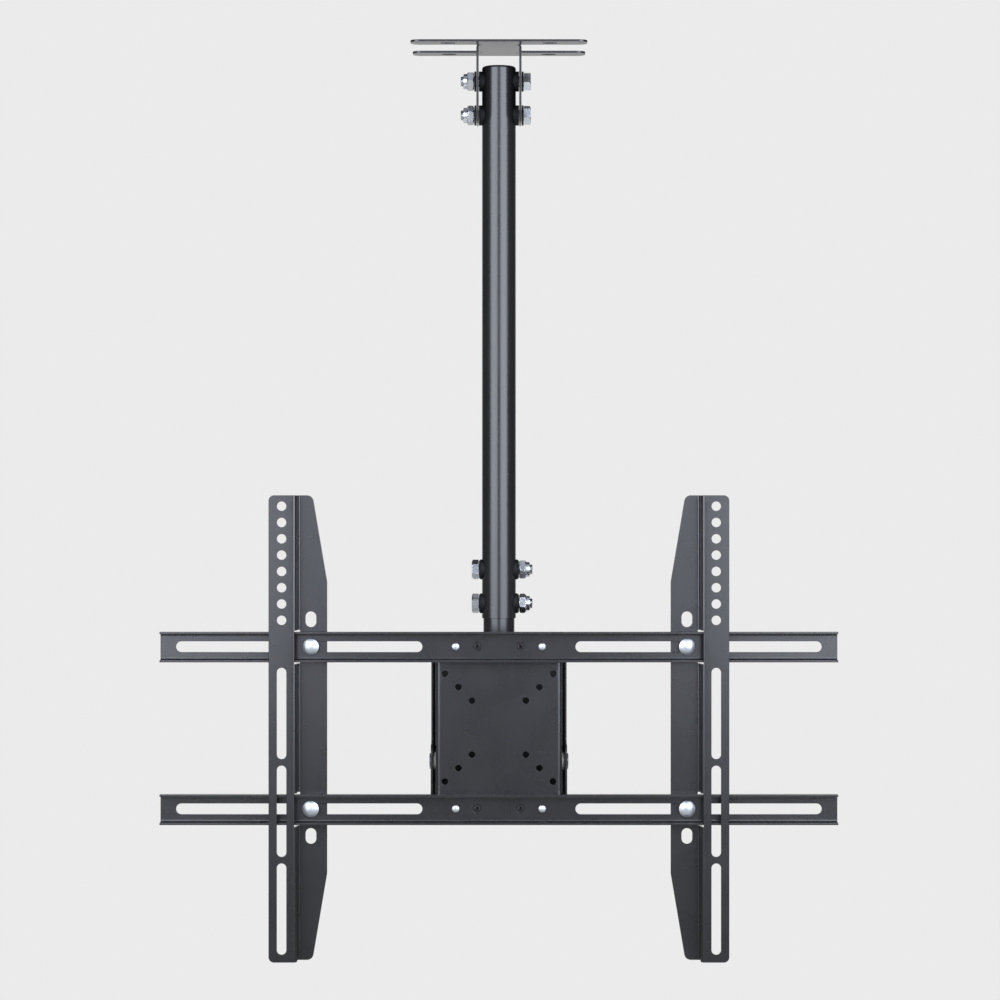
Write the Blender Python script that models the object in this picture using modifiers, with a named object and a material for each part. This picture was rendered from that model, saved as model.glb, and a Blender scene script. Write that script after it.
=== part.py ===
"""A tv ceiling mount: ceiling plate, drop pole, swivel and tilt head, cross rails and tv arms.

Metres, +Z up. The origin is the middle of the ceiling plate's top face. X runs to the right of someone
who looks at the screen side, and the screen side faces -Y.
"""

import math

import bmesh
import bpy
from mathutils import Matrix, Vector

MM = 0.001

# Fits that all pieces share
SEAT_GAP = 0.3 * MM
BOLT_CLEARANCE = 0.3 * MM
BEND_INSIDE = 2.0 * MM
TRIM_MARGIN = 6.0 * MM
ARC_STEP = math.radians(22.5)
FINE_STEP = math.radians(3)
BEND_STEPS = 4
SMALL_STEPS = 12
WIDE_STEPS = 16
TUBE_STEPS = 32

# Ceiling plate: an H with two ears bent down from its web
CEILING_SHEET = 2.0 * MM
CEILING_LENGTH = 165.0 * MM
CEILING_DEPTH = 100.0 * MM
CEILING_STRIP = 23.0 * MM
CEILING_CORNER = 8.0 * MM
CEILING_NOTCH_CORNER = 0.8 * MM
CEILING_SLOT_LENGTH = 13.5 * MM
CEILING_SLOT_WIDTH = 7.0 * MM
CEILING_SLOT_SPACING = 95.0 * MM
EAR_GAP = 2.0 * MM
EAR_WIDTH = CEILING_DEPTH - 2 * (CEILING_STRIP + EAR_GAP)
EAR_CORNER = 0.3 * EAR_WIDTH
EAR_BELOW_BOLT = 9.0 * MM
EAR_RELIEF = 1.0 * MM

# Drop pole and the bolts at its two ends
POLE_DIAMETER = 32.0 * MM
POLE_WALL = 1.0 * MM
POLE_DROP = 19.0 * MM
POLE_LENGTH = 521.0 * MM
UPPER_BOLT_BELOW_TOP = 14.0 * MM
LOWER_BOLT_ABOVE_END = 14.0 * MM
POLE_BOLT_PITCH = 32.0 * MM
SADDLE_DIAMETER = 19.0 * MM
SADDLE_THICKNESS = 2.6 * MM
EAR_WASHER_DIAMETER = 19.0 * MM
EAR_WASHER_THICKNESS = 1.8 * MM

# Fasteners, by thread: diameter, width across flats, head height, nut height
M4 = 4.0 * MM
M6 = 6.0 * MM
M8 = 8.0 * MM
M10 = 10.0 * MM
M6_FLATS = 10.0 * MM
M8_FLATS = 13.0 * MM
M10_FLATS = 16.0 * MM
M6_HEAD = 4.0 * MM
M8_HEAD = 5.3 * MM
M10_HEAD = 6.4 * MM
M6_NUT = 6.0 * MM
M8_NUT = 8.0 * MM
M10_NUT = 10.0 * MM
M6_FLANGE = 14.0 * MM
M10_FLANGE = 21.5 * MM
FLANGE_THICKNESS = 1.3 * MM
NUT_COLLAR_SHARE = 0.3
THREAD_BEYOND_NUT = 3.0 * MM
HEX_CHAMFER = 0.8 * MM

# Inner tube with its foot disc, and the swivel below it
INNER_TUBE_FIT = 0.3 * MM
INNER_TUBE_WALL = 1.5 * MM
INNER_TUBE_IN_POLE = 70.0 * MM
INNER_TUBE_BELOW_POLE = 17.0 * MM
FOOT_DIAMETER = 44.0 * MM
FOOT_THICKNESS = 3.0 * MM
FOOT_WELD = 2.0 * MM
SWIVEL_WASHER_THICKNESS = 1.5 * MM

# Swivel bracket: back wall, two side walls with a forward lobe each, and a top
BRACKET_SHEET = 2.0 * MM
BRACKET_WIDTH = 127.0 * MM
BRACKET_HEIGHT = 162.0 * MM
BRACKET_BACK = 22.0 * MM
BRACKET_TOP_FRONT = 22.0 * MM
BRACKET_CORNER = 8.0 * MM
BRACKET_HEEL_RISE = 8.0 * MM
LOBE_AHEAD_OF_PIVOT = 12.0 * MM
LOBE_ABOVE_PIVOT = 16.0 * MM
LOBE_CORNER = 10.0 * MM
CORNER_RELIEF = 1.5 * MM

# Head plate: face with the small-screen hole patterns, a stiffening edge and an ear on each side
HEAD_SHEET = 2.0 * MM
HEAD_WIDTH = 117.0 * MM
HEAD_HEIGHT = 175.0 * MM
HEAD_FORWARD = 63.0 * MM
HEAD_CENTRE_BELOW_BRACKET_TOP = 77.0 * MM
HEAD_EDGE_DEPTH = 15.0 * MM
HEAD_EAR_DEPTH = 43.0 * MM
HEAD_EAR_CORNER = 10.0 * MM
HEAD_RELIEF = 3.0 * MM
HEAD_RELIEF_ABOVE_PIVOT = 12.5 * MM
SCREEN_HOLE = 6.0 * MM
SCREEN_PATTERNS = (50.0 * MM, 75.0 * MM, 100.0 * MM)

# Tilt: pivot, lock and limits
PIVOT_BEHIND_FACE = 27.0 * MM
PIVOT_BELOW_CENTRE = 33.0 * MM
PIVOT_HEAD_DIAMETER = 15.0 * MM
PIVOT_HEAD_HEIGHT = 1.0 * MM
PIVOT_SPACER_DIAMETER = 16.0 * MM
LOCK_RADIUS = 40.0 * MM
LOCK_SPACER_DIAMETER = 13.0 * MM
TILT_UP = math.radians(5)
TILT_DOWN = math.radians(15)
TILT_SPARE = math.radians(0.7)

# Cross rails
RAIL_SHEET = 2.0 * MM
RAIL_LENGTH = 626.0 * MM
RAIL_HEIGHT = 28.0 * MM
RAIL_DEPTH = 12.0 * MM
RAIL_PITCH = 150.0 * MM
RAIL_SLOT_WIDTH = 10.0 * MM
RAIL_SLOT_START = 70.8 * MM
RAIL_SLOT_BRIDGE = 10.6 * MM
RAIL_END_MARGIN = 14.4 * MM
RAIL_SLOTS_ROOM = RAIL_LENGTH / 2 - RAIL_SLOT_START - RAIL_END_MARGIN
RAIL_SLOT_LENGTH = (RAIL_SLOTS_ROOM - RAIL_SLOT_BRIDGE) / 2
RAIL_SCREW_SPACING = 80.0 * MM
SPARE_HOLE_SPACING = 40.0 * MM
SPARE_HOLE = 5.0 * MM
SCREW_HEAD_DIAMETER = 6.8 * MM
SCREW_HEAD_HEIGHT = 2.2 * MM
SCREW_BEHIND_PLATE = 3.0 * MM

# TV arms: front face, web, and wing behind the rails
ARM_SHEET = 2.0 * MM
ARM_LENGTH = 430.0 * MM
ARM_DEPTH = 20.0 * MM
ARM_HOLE_SPACING = 400.0 * MM
ARM_FACE_OUT = 12.0 * MM
ARM_WEB_IN = 14.0 * MM
ARM_WING_IN = 41.0 * MM
ARM_FACE_CORNER = 5.0 * MM
ARM_WING_CORNER = 6.0 * MM
ARM_TAPER_LENGTH = 80.0 * MM
ARM_TAPER_INSET = 13.5 * MM
ARM_HOLE = 9.2 * MM
ARM_HOLE_COUNT = 8
ARM_HOLE_PITCH = 15.0 * MM
ARM_FIRST_HOLE = 10.0 * MM
ARM_SLOT_COUNT = 3
ARM_SLOT_START = 158.5 * MM
ARM_SLOT_BRIDGE = 5.5 * MM
ARM_END_MARGIN = 7.0 * MM
ARM_SLOTS_ROOM = ARM_LENGTH - ARM_SLOT_START - ARM_END_MARGIN
ARM_SLOT_PITCH = (ARM_SLOTS_ROOM + ARM_SLOT_BRIDGE) / ARM_SLOT_COUNT
ARM_SLOT_LENGTH = ARM_SLOT_PITCH - ARM_SLOT_BRIDGE
ARM_BOLT_IN = 26.0 * MM
OVAL_WIDTH = 10.0 * MM
OVAL_HEIGHT = 14.5 * MM
OVAL_BEYOND_RAIL = 25.3 * MM
NOTCH_CLEARANCE = 1.5 * MM
NOTCH_INTO_BEND = 1.3 * MM
DOME_DIAMETER = 15.6 * MM
DOME_HEIGHT = 4.0 * MM
NECK_SIDE = 6.5 * MM
NECK_LENGTH = RAIL_SHEET + ARM_SHEET

# Places worked out from the sizes above
POLE_RADIUS = POLE_DIAMETER / 2
POLE_END = -POLE_DROP - POLE_LENGTH
UPPER_BOLTS = [-POLE_DROP - UPPER_BOLT_BELOW_TOP - i * POLE_BOLT_PITCH for i in range(2)]
LOWER_BOLTS = [POLE_END + LOWER_BOLT_ABOVE_END + i * POLE_BOLT_PITCH for i in (1, 0)]
SADDLE_INSIDE = POLE_RADIUS + SEAT_GAP
SADDLE_OUTSIDE = SADDLE_INSIDE + SADDLE_THICKNESS
EAR_INSIDE = SADDLE_OUTSIDE + SEAT_GAP
EAR_OUTSIDE = EAR_INSIDE + CEILING_SHEET
UPPER_SEAT = EAR_OUTSIDE + SEAT_GAP + EAR_WASHER_THICKNESS + SEAT_GAP
LOWER_SEAT = SADDLE_OUTSIDE + SEAT_GAP
INNER_TUBE_RADIUS = POLE_RADIUS - POLE_WALL - INNER_TUBE_FIT
FOOT_TOP = POLE_END - INNER_TUBE_BELOW_POLE
FOOT_BOTTOM = FOOT_TOP - FOOT_THICKNESS
SWIVEL_WASHER_TOP = FOOT_BOTTOM - SEAT_GAP
BRACKET_TOP = SWIVEL_WASHER_TOP - SWIVEL_WASHER_THICKNESS - SEAT_GAP
BRACKET_UNDER = BRACKET_TOP - BRACKET_SHEET
BRACKET_BOTTOM = BRACKET_TOP - BRACKET_HEIGHT
HEAD_CENTRE = BRACKET_TOP - HEAD_CENTRE_BELOW_BRACKET_TOP
HEAD_TOP = HEAD_CENTRE + HEAD_HEIGHT / 2
HEAD_BOTTOM = HEAD_CENTRE - HEAD_HEIGHT / 2
HEAD_FACE = -HEAD_FORWARD
HEAD_BACK = HEAD_FACE + HEAD_SHEET
PIVOT_Y = HEAD_FACE + PIVOT_BEHIND_FACE
PIVOT_Z = HEAD_CENTRE - PIVOT_BELOW_CENTRE
LOCK_Z = PIVOT_Z - LOCK_RADIUS
EAR_FACE = HEAD_WIDTH / 2
BRACKET_SIDE = BRACKET_WIDTH / 2
SPACER_THICKNESS = BRACKET_SIDE - BRACKET_SHEET - EAR_FACE - 2 * SEAT_GAP
RAIL_BACK = HEAD_FACE - SEAT_GAP
RAIL_WEB_FRONT = RAIL_BACK - RAIL_SHEET
RAIL_CENTRES = {"upper": HEAD_CENTRE + RAIL_PITCH / 2, "lower": HEAD_CENTRE - RAIL_PITCH / 2}
WING_FACE = RAIL_BACK + SEAT_GAP
WING_BACK = WING_FACE + ARM_SHEET
ARM_FACE = WING_BACK - ARM_DEPTH
ARM_COLUMN = ARM_HOLE_SPACING / 2
SIDES = {"left": -1, "right": 1}


# Outlines: lists of flat points


def circle_outline(centre, diameter, steps=SMALL_STEPS):
    turns = [2 * math.pi * i / steps for i in range(steps)]
    radius = diameter / 2
    return [(centre[0] + radius * math.cos(a), centre[1] + radius * math.sin(a)) for a in turns]


def square_outline(centre, side):
    half = side / 2
    return [(centre[0] + u * half, centre[1] + v * half) for u, v in ((-1, -1), (1, -1), (1, 1), (-1, 1))]


def arc(centre, radius, start, end, step=ARC_STEP):
    """Points from angle start to angle end, both ends kept."""
    steps = max(1, math.ceil(abs(end - start) / step - 1e-6))
    turns = [start + (end - start) * i / steps for i in range(steps + 1)]
    return [(centre[0] + radius * math.cos(a), centre[1] + radius * math.sin(a)) for a in turns]


def slot_outline(centre, length, width, turned=False):
    """A slot with round ends, along the first axis, or along the second one if turned."""
    reach = (length - width) / 2
    points = arc((reach, 0), width / 2, -math.pi / 2, math.pi / 2)
    points += arc((-reach, 0), width / 2, math.pi / 2, 3 * math.pi / 2)
    if turned:
        points = [(-v, u) for u, v in points]
    return [(centre[0] + u, centre[1] + v) for u, v in points]


def arc_slot_outline(centre, radius, start, end, width):
    """A curved slot with round ends about a centre."""
    half = width / 2
    first = (centre[0] + radius * math.cos(start), centre[1] + radius * math.sin(start))
    last = (centre[0] + radius * math.cos(end), centre[1] + radius * math.sin(end))
    points = arc(centre, radius + half, start, end, FINE_STEP)
    points += arc(last, half, end, end + math.pi)[1:-1]
    points += arc(centre, radius - half, end, start, FINE_STEP)
    points += arc(first, half, start + math.pi, start + 2 * math.pi)[1:-1]
    return points


def rounded_outline(corners):
    """A closed outline through corners (u, v, radius), each rounded to its radius."""
    points = []
    for i, (u, v, radius) in enumerate(corners):
        corner = Vector((u, v))
        if radius == 0:
            points.append((u, v))
            continue
        back = (Vector(corners[i - 1][:2]) - corner).normalized()
        ahead = (Vector(corners[(i + 1) % len(corners)][:2]) - corner).normalized()
        half = back.angle(ahead) / 2
        centre = corner + (back + ahead).normalized() * radius / math.sin(half)
        begin = corner + back * radius / math.tan(half) - centre
        finish = corner + ahead * radius / math.tan(half) - centre
        start = math.atan2(begin.y, begin.x)
        turn = math.atan2(begin.cross(finish), begin.dot(finish))
        points += arc(centre, radius, start, start + turn)
    return points


def sheet_outline(path, thickness):
    """The closed outline of a bent sheet whose middle line has the sharp corners of path."""
    middle = BEND_INSIDE + thickness / 2
    path = [Vector(point) for point in path]
    sides = {1: [], -1: []}
    for side, points in sides.items():
        for i, corner in enumerate(path):
            into = (corner - path[i - 1]).normalized() if i else (path[1] - corner).normalized()
            out = (path[i + 1] - corner).normalized() if i + 1 < len(path) else into
            turn = math.atan2(into.cross(out), into.dot(out))
            left = Vector((-into.y, into.x))
            if turn == 0:
                points.append(tuple(corner + left * side * thickness / 2))
                continue
            bend = math.copysign(1, turn)
            centre = corner - into * middle * math.tan(abs(turn) / 2) + left * bend * middle
            start = math.atan2(-left.y * bend, -left.x * bend)
            radius = middle - bend * side * thickness / 2
            points += arc(centre, radius, start, start + turn)
    return sides[1] + sides[-1][::-1]


# Solids and how they are joined


def make_collection(name):
    collection = bpy.data.collections.new(name)
    bpy.context.scene.collection.children.link(collection)
    return collection


def make_object(name, mesh, collection):
    piece = bpy.data.objects.new(name, mesh)
    collection.objects.link(piece)
    return piece


def mesh_of(piece):
    """The piece's mesh with its modifiers applied. The piece itself is removed."""
    bpy.context.view_layer.update()
    evaluated = piece.evaluated_get(bpy.context.evaluated_depsgraph_get())
    mesh = bpy.data.meshes.new_from_object(evaluated)
    bpy.data.objects.remove(piece)
    return mesh


def slab(name, axis, low, high, outlines, collection=None):
    """Flat outlines, the outer one first and then its holes, filled from low to high along an axis.

    The points are (y, z) for axis X, (x, z) for axis Y and (x, y) for axis Z.
    """
    curve = bpy.data.curves.new(name, "CURVE")
    curve.dimensions = "2D"
    curve.fill_mode = "BOTH"
    curve.extrude = (high - low) / 2
    for outline in outlines:
        spline = curve.splines.new("POLY")
        spline.points.add(len(outline) - 1)
        for point, (u, v) in zip(spline.points, outline):
            point.co = (u, v, 0, 1)
        spline.use_cyclic_u = True
    mesh = mesh_of(make_object(name, curve, bpy.context.scene.collection))
    turns = {
        "X": Matrix(((0, 0, 1), (1, 0, 0), (0, 1, 0))),
        "Y": Matrix(((1, 0, 0), (0, 0, -1), (0, 1, 0))),
        "Z": Matrix.Identity(3),
    }
    shift = Vector([(low + high) / 2 if letter == axis else 0 for letter in "XYZ"])
    edit = bmesh.new()
    edit.from_mesh(mesh)
    bmesh.ops.remove_doubles(edit, verts=edit.verts, dist=0.001 * MM)
    bmesh.ops.transform(edit, matrix=turns[axis].to_4x4(), verts=edit.verts)
    bmesh.ops.translate(edit, vec=shift, verts=edit.verts)
    bmesh.ops.recalc_face_normals(edit, faces=edit.faces)
    edit.to_mesh(mesh)
    edit.free()
    return make_object(name, mesh, collection or PARTS)


def turned(name, profile, closed, steps=SMALL_STEPS, collection=None):
    """A profile of (radius, height) points, top to bottom down its outer side, turned about Z."""
    mesh = bpy.data.meshes.new(name)
    count = len(profile)
    edges = [(i, (i + 1) % count) for i in range(count if closed else count - 1)]
    mesh.from_pydata([(radius, 0, height) for radius, height in profile], edges, [])
    piece = make_object(name, mesh, collection or PARTS)
    screw = piece.modifiers.new("turn", "SCREW")
    screw.steps = steps
    screw.render_steps = steps
    screw.use_merge_vertices = True
    screw.merge_threshold = 0.001 * MM
    return piece


def block(name, low, high, collection=None):
    """A box between two corners."""
    edit = bmesh.new()
    bmesh.ops.create_cube(edit, size=1)
    size = [b - a for a, b in zip(low, high)]
    bmesh.ops.scale(edit, vec=size, verts=edit.verts)
    bmesh.ops.translate(edit, vec=[(a + b) / 2 for a, b in zip(low, high)], verts=edit.verts)
    mesh = bpy.data.meshes.new(name)
    edit.to_mesh(mesh)
    edit.free()
    return make_object(name, mesh, collection or PARTS)


def prism(name, flats, low, high, collection=None):
    """A hexagonal bar along Z with a corner towards +X."""
    edit = bmesh.new()
    radius = flats / math.sqrt(3)
    bmesh.ops.create_cone(edit, cap_ends=True, segments=6, radius1=radius, radius2=radius, depth=high - low)
    bmesh.ops.translate(edit, vec=(0, 0, (low + high) / 2), verts=edit.verts)
    bmesh.ops.rotate(edit, matrix=Matrix.Rotation(math.pi / 6, 3, "Z"), verts=edit.verts)
    mesh = bpy.data.meshes.new(name)
    edit.to_mesh(mesh)
    edit.free()
    return make_object(name, mesh, collection or PARTS)


def combine(piece, operation, other):
    """Adds a live Boolean. The other shape moves with the piece and isn't part of the model."""
    modifier = piece.modifiers.new(other.name, "BOOLEAN")
    modifier.operation = operation
    modifier.solver = "EXACT"
    modifier.object = other
    other.parent = piece
    other.hide_render = True
    other.display_type = "WIRE"
    return piece


def finish(name, colour, roughness, metallic):
    material = bpy.data.materials.new(name)
    material.use_nodes = True
    surface = material.node_tree.nodes["Principled BSDF"]
    surface.inputs["Base Color"].default_value = (*colour, 1)
    surface.inputs["Roughness"].default_value = roughness
    surface.inputs["Metallic"].default_value = metallic
    material.diffuse_color = (*colour, 1)
    return material


def place(piece, parent, location, material, rotation=(0, 0, 0)):
    """Puts a piece at a place in the world, under the empty of the body that carries it."""
    piece.parent = parent
    piece.location = Vector(location) - PLACES[parent.name]
    piece.rotation_euler = rotation
    if not piece.data.materials:
        piece.data.materials.append(material)
    piece.data.shade_smooth()
    piece.data.set_sharp_from_angle(angle=math.radians(30))
    return piece


def axis_empty(name, location, parent=None):
    """An empty on the axis or slide line of a body."""
    empty = make_object(name, None, PARTS)
    empty.parent = parent
    empty.location = Vector(location) - (PLACES[parent.name] if parent else Vector())
    PLACES[name] = Vector(location)
    return empty


# Fasteners, each along Z with its seat at height 0 and its head or body above


def hex_bolt_mesh(flats, head, diameter, length, flange=0):
    """A hexagon head bolt whose shank runs down from the seat, with a flange under the head if asked."""
    corner = flats / math.sqrt(3) * 1.02
    low = FLANGE_THICKNESS / 4 if flange else 0
    profile = [(0, head), (flats / 2 * 0.95, head), (corner, head - HEX_CHAMFER), (corner, low)]
    profile += [(diameter / 2, low), (diameter / 2, -length + HEX_CHAMFER)]
    profile += [(diameter / 2 - HEX_CHAMFER, -length), (0, -length)]
    bolt = turned("hex_bolt", profile, closed=False)
    bar = prism("hex_bar", flats, -length - TRIM_MARGIN, head + TRIM_MARGIN)
    combine(bolt, "INTERSECT", bar)
    others = [bar]
    if flange:
        inside = diameter / 2 - BOLT_CLEARANCE
        ring = [(inside, FLANGE_THICKNESS), (flange / 2, FLANGE_THICKNESS), (flange / 2, 0), (inside, 0)]
        others.append(turned("flange", ring, closed=True, steps=WIDE_STEPS))
        combine(bolt, "UNION", others[-1])
    mesh = mesh_of(bolt)
    for other in others:
        bpy.data.objects.remove(other)
    return mesh


def nut_mesh(flats, height, diameter, flange=0):
    """A hexagon nut with the round collar of a lock nut, or with a flange under it."""
    bore = diameter / 2 + BOLT_CLEARANCE
    corner = flats / math.sqrt(3) * 1.02
    shoulder = height * (1 - NUT_COLLAR_SHARE)
    collar = flats / 2 * 0.88
    low = FLANGE_THICKNESS / 4 if flange else 0
    profile = [(bore, height), (collar - HEX_CHAMFER, height), (collar, height - HEX_CHAMFER)]
    profile += [(collar, shoulder), (flats / 2 * 0.95, shoulder), (corner, shoulder - HEX_CHAMFER)]
    profile += [(corner, low), (bore, low)]
    nut = turned("nut", profile, closed=True)
    bar = prism("hex_bar", flats, -TRIM_MARGIN, height + TRIM_MARGIN)
    combine(nut, "INTERSECT", bar)
    others = [bar]
    if flange:
        inside = bore + BOLT_CLEARANCE
        ring = [(inside, FLANGE_THICKNESS), (flange / 2, FLANGE_THICKNESS), (flange / 2, 0), (inside, 0)]
        others.append(turned("flange", ring, closed=True, steps=WIDE_STEPS))
        combine(nut, "UNION", others[-1])
    mesh = mesh_of(nut)
    for other in others:
        bpy.data.objects.remove(other)
    return mesh


def washer_mesh(outside, bore, thickness, steps=WIDE_STEPS):
    ring = [(bore / 2, thickness), (outside / 2, thickness), (outside / 2, 0), (bore / 2, 0)]
    return mesh_of(turned("washer", ring, closed=True, steps=steps))


def saddle_mesh():
    """A round plastic pad along Z whose inner face is hollowed to the pole, which lies along X."""
    bore = M8 / 2 + BOLT_CLEARANCE
    low = POLE_RADIUS / 2
    ring = [(bore, SADDLE_OUTSIDE), (SADDLE_DIAMETER / 2, SADDLE_OUTSIDE), (SADDLE_DIAMETER / 2, low), (bore, low)]
    pad = turned("saddle", ring, closed=True, steps=WIDE_STEPS)
    reach = SADDLE_DIAMETER
    hollow = slab("saddle_hollow", "X", -reach, reach, [circle_outline((0, 0), 2 * SADDLE_INSIDE, TUBE_STEPS)])
    combine(pad, "DIFFERENCE", hollow)
    mesh = mesh_of(pad)
    bpy.data.objects.remove(hollow)
    return mesh


def carriage_bolt_mesh(length):
    """A dome head over a round shank. The square neck goes through the rail and holds in the arm."""
    steps = 4
    sphere = (DOME_DIAMETER**2 / 4 + DOME_HEIGHT**2) / (2 * DOME_HEIGHT)
    widest = math.asin(DOME_DIAMETER / 2 / sphere)
    turns = [widest * i / steps for i in range(steps + 1)]
    profile = [(sphere * math.sin(a), DOME_HEIGHT - sphere + sphere * math.cos(a)) for a in turns]
    profile[0] = (0, DOME_HEIGHT)
    profile += [(M6 / 2, 0), (M6 / 2, -length + HEX_CHAMFER), (M6 / 2 - HEX_CHAMFER, -length), (0, -length)]
    bolt = turned("carriage_bolt", profile, closed=False, steps=WIDE_STEPS)
    half = NECK_SIDE / 2
    neck = block("neck", (-half, -half, -NECK_LENGTH), (half, half, DOME_HEIGHT / 4))
    combine(bolt, "UNION", neck)
    mesh = mesh_of(bolt)
    bpy.data.objects.remove(neck)
    return mesh


def round_head_mesh(head_diameter, head_height, diameter, length):
    """A low round head on a shank."""
    edge = head_height * 0.45
    profile = [(0, head_height), (head_diameter / 2 - edge, head_height), (head_diameter / 2, head_height - edge)]
    profile += [(head_diameter / 2, 0), (diameter / 2, 0), (diameter / 2, -length), (0, -length)]
    return mesh_of(turned("round_head", profile, closed=False))


# Sub-parts


def bend_ears(piece, start):
    """Bends the tongues of the flat blank down, from the line at distance start on each side."""
    middle = BEND_INSIDE + CEILING_SHEET / 2
    flat_length = middle * math.pi / 2
    tongue_edge = (EAR_WIDTH + EAR_GAP) / 2
    edit = bmesh.new()
    edit.from_mesh(piece.data)
    for side in SIDES.values():
        for i in range(BEND_STEPS + 1):
            place_of_cut = (side * (start + flat_length * i / BEND_STEPS), 0, 0)
            tongue = [face for face in edit.faces if all(abs(v.co.y) < tongue_edge for v in face.verts)]
            parts = {element for face in tongue for element in (*face.verts, *face.edges)}
            bmesh.ops.bisect_plane(edit, geom=[*parts, *tongue], plane_co=place_of_cut, plane_no=(1, 0, 0))
    for point in edit.verts:
        along = abs(point.co.x) - start
        if along <= 0 or abs(point.co.y) > tongue_edge:
            continue
        angle = min(along / middle, math.pi / 2)
        radius = middle + point.co.z + CEILING_SHEET / 2
        straight = max(0, along - flat_length)
        point.co.x = math.copysign(start + radius * math.sin(angle), point.co.x)
        point.co.z = radius * math.cos(angle) - straight - middle - CEILING_SHEET / 2
    edit.to_mesh(piece.data)
    edit.free()


def make_ceiling_plate(body, coat):
    """The blank is an H with a tongue on each side, which is bent down into an ear."""
    long = CEILING_LENGTH / 2
    deep = CEILING_DEPTH / 2
    notch = deep - CEILING_STRIP
    ear = EAR_WIDTH / 2
    bend = EAR_INSIDE - BEND_INSIDE
    web = bend - EAR_RELIEF
    middle = BEND_INSIDE + CEILING_SHEET / 2
    unbent = bend + middle * math.pi / 2 - middle - CEILING_SHEET / 2
    tongue = unbent - UPPER_BOLTS[-1] + EAR_BELOW_BOLT
    corner = CEILING_CORNER
    inner = CEILING_NOTCH_CORNER
    half = [(long, -deep, corner), (long, -notch, corner), (web, -notch, inner), (web, -ear, inner)]
    half += [(tongue, -ear, EAR_CORNER), (tongue, ear, EAR_CORNER)]
    half += [(web, ear, inner), (web, notch, inner), (long, notch, corner), (long, deep, corner)]
    outline = half + [(-u, -v, r) for u, v, r in half]
    slot_y = deep - CEILING_STRIP / 2
    slot_x = CEILING_SLOT_SPACING / 2
    holes = []
    for side in SIDES.values():
        for y in (-slot_y, slot_y):
            holes.append(slot_outline((side * slot_x, y), CEILING_SLOT_LENGTH, CEILING_SLOT_WIDTH))
        for z in UPPER_BOLTS:
            holes.append(circle_outline((side * (unbent - z), 0), M8 + 2 * BOLT_CLEARANCE))
    plate = slab("ceiling_plate", "Z", -CEILING_SHEET, 0, [rounded_outline(outline), *holes])
    bend_ears(plate, bend)
    place(plate, body, (0, 0, 0), coat)


def cross_holes(name, heights, radius):
    """Bars through a tube along X, one for each bolt."""
    return [
        slab(f"{name}_{i}", "X", -radius, radius, [circle_outline((0, z), M8 + 2 * BOLT_CLEARANCE)], CUTTERS)
        for i, z in enumerate(heights)
    ]


def make_pole(body, coat):
    inside = POLE_RADIUS - POLE_WALL
    profile = [(POLE_RADIUS, 0), (POLE_RADIUS, -POLE_LENGTH), (inside, -POLE_LENGTH), (inside, 0)]
    pole = turned("drop_pole", profile, closed=True, steps=TUBE_STEPS)
    heights = [z + POLE_DROP for z in UPPER_BOLTS + LOWER_BOLTS]
    for bar in cross_holes("pole_hole", heights, POLE_DIAMETER):
        combine(pole, "DIFFERENCE", bar)
    place(pole, body, (0, 0, -POLE_DROP), coat)


def make_inner_tube(body, coat):
    """The tube bolts into the pole's end. Its foot disc turns on the swivel bolt."""
    outside = INNER_TUBE_RADIUS
    inside = outside - INNER_TUBE_WALL
    top = INNER_TUBE_IN_POLE + INNER_TUBE_BELOW_POLE + FOOT_THICKNESS
    foot = FOOT_DIAMETER / 2
    hole = M10 / 2 + BOLT_CLEARANCE
    profile = [(outside, top), (outside, FOOT_THICKNESS + FOOT_WELD), (outside + FOOT_WELD, FOOT_THICKNESS)]
    profile += [(foot, FOOT_THICKNESS), (foot, 0), (hole, 0), (hole, FOOT_THICKNESS)]
    profile += [(inside, FOOT_THICKNESS), (inside, top)]
    tube = turned("inner_tube", profile, closed=True, steps=TUBE_STEPS)
    for bar in cross_holes("tube_hole", [z - FOOT_BOTTOM for z in LOWER_BOLTS], POLE_DIAMETER):
        combine(tube, "DIFFERENCE", bar)
    place(tube, body, (0, 0, FOOT_BOTTOM), coat)


def make_pole_bolts(body, zinc, plastic):
    """Two bolts through the ears and the pole, and two through the pole and the inner tube."""
    nut = nut_mesh(M8_FLATS, M8_NUT, M8)
    saddle = saddle_mesh()
    washer = washer_mesh(EAR_WASHER_DIAMETER, M8 + 2 * BOLT_CLEARANCE, EAR_WASHER_THICKNESS)
    quarter = math.pi / 2
    groups = {"upper": (UPPER_BOLTS, UPPER_SEAT, 1), "lower": (LOWER_BOLTS, LOWER_SEAT, -1)}
    for group, (heights, seat, head_side) in groups.items():
        bolt = hex_bolt_mesh(M8_FLATS, M8_HEAD, M8, 2 * seat + M8_NUT + THREAD_BEYOND_NUT)
        for i, z in enumerate(heights, start=1):
            head = make_object(f"{group}_bolt_{i}", bolt, PARTS)
            place(head, body, (head_side * seat, 0, z), zinc, (0, head_side * quarter, 0))
            end = make_object(f"{group}_nut_{i}", nut, PARTS)
            place(end, body, (-head_side * seat, 0, z), zinc, (0, -head_side * quarter, 0))
            for name, side in SIDES.items():
                pad = make_object(f"{group}_saddle_{name}_{i}", saddle, PARTS)
                place(pad, body, (0, 0, z), plastic, (0, side * quarter, 0))
    for i, z in enumerate(UPPER_BOLTS, start=1):
        for name, side in SIDES.items():
            ring = make_object(f"ear_washer_{name}_{i}", washer, PARTS)
            place(ring, body, (side * (EAR_OUTSIDE + SEAT_GAP), 0, z), plastic, (0, side * quarter, 0))


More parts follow.
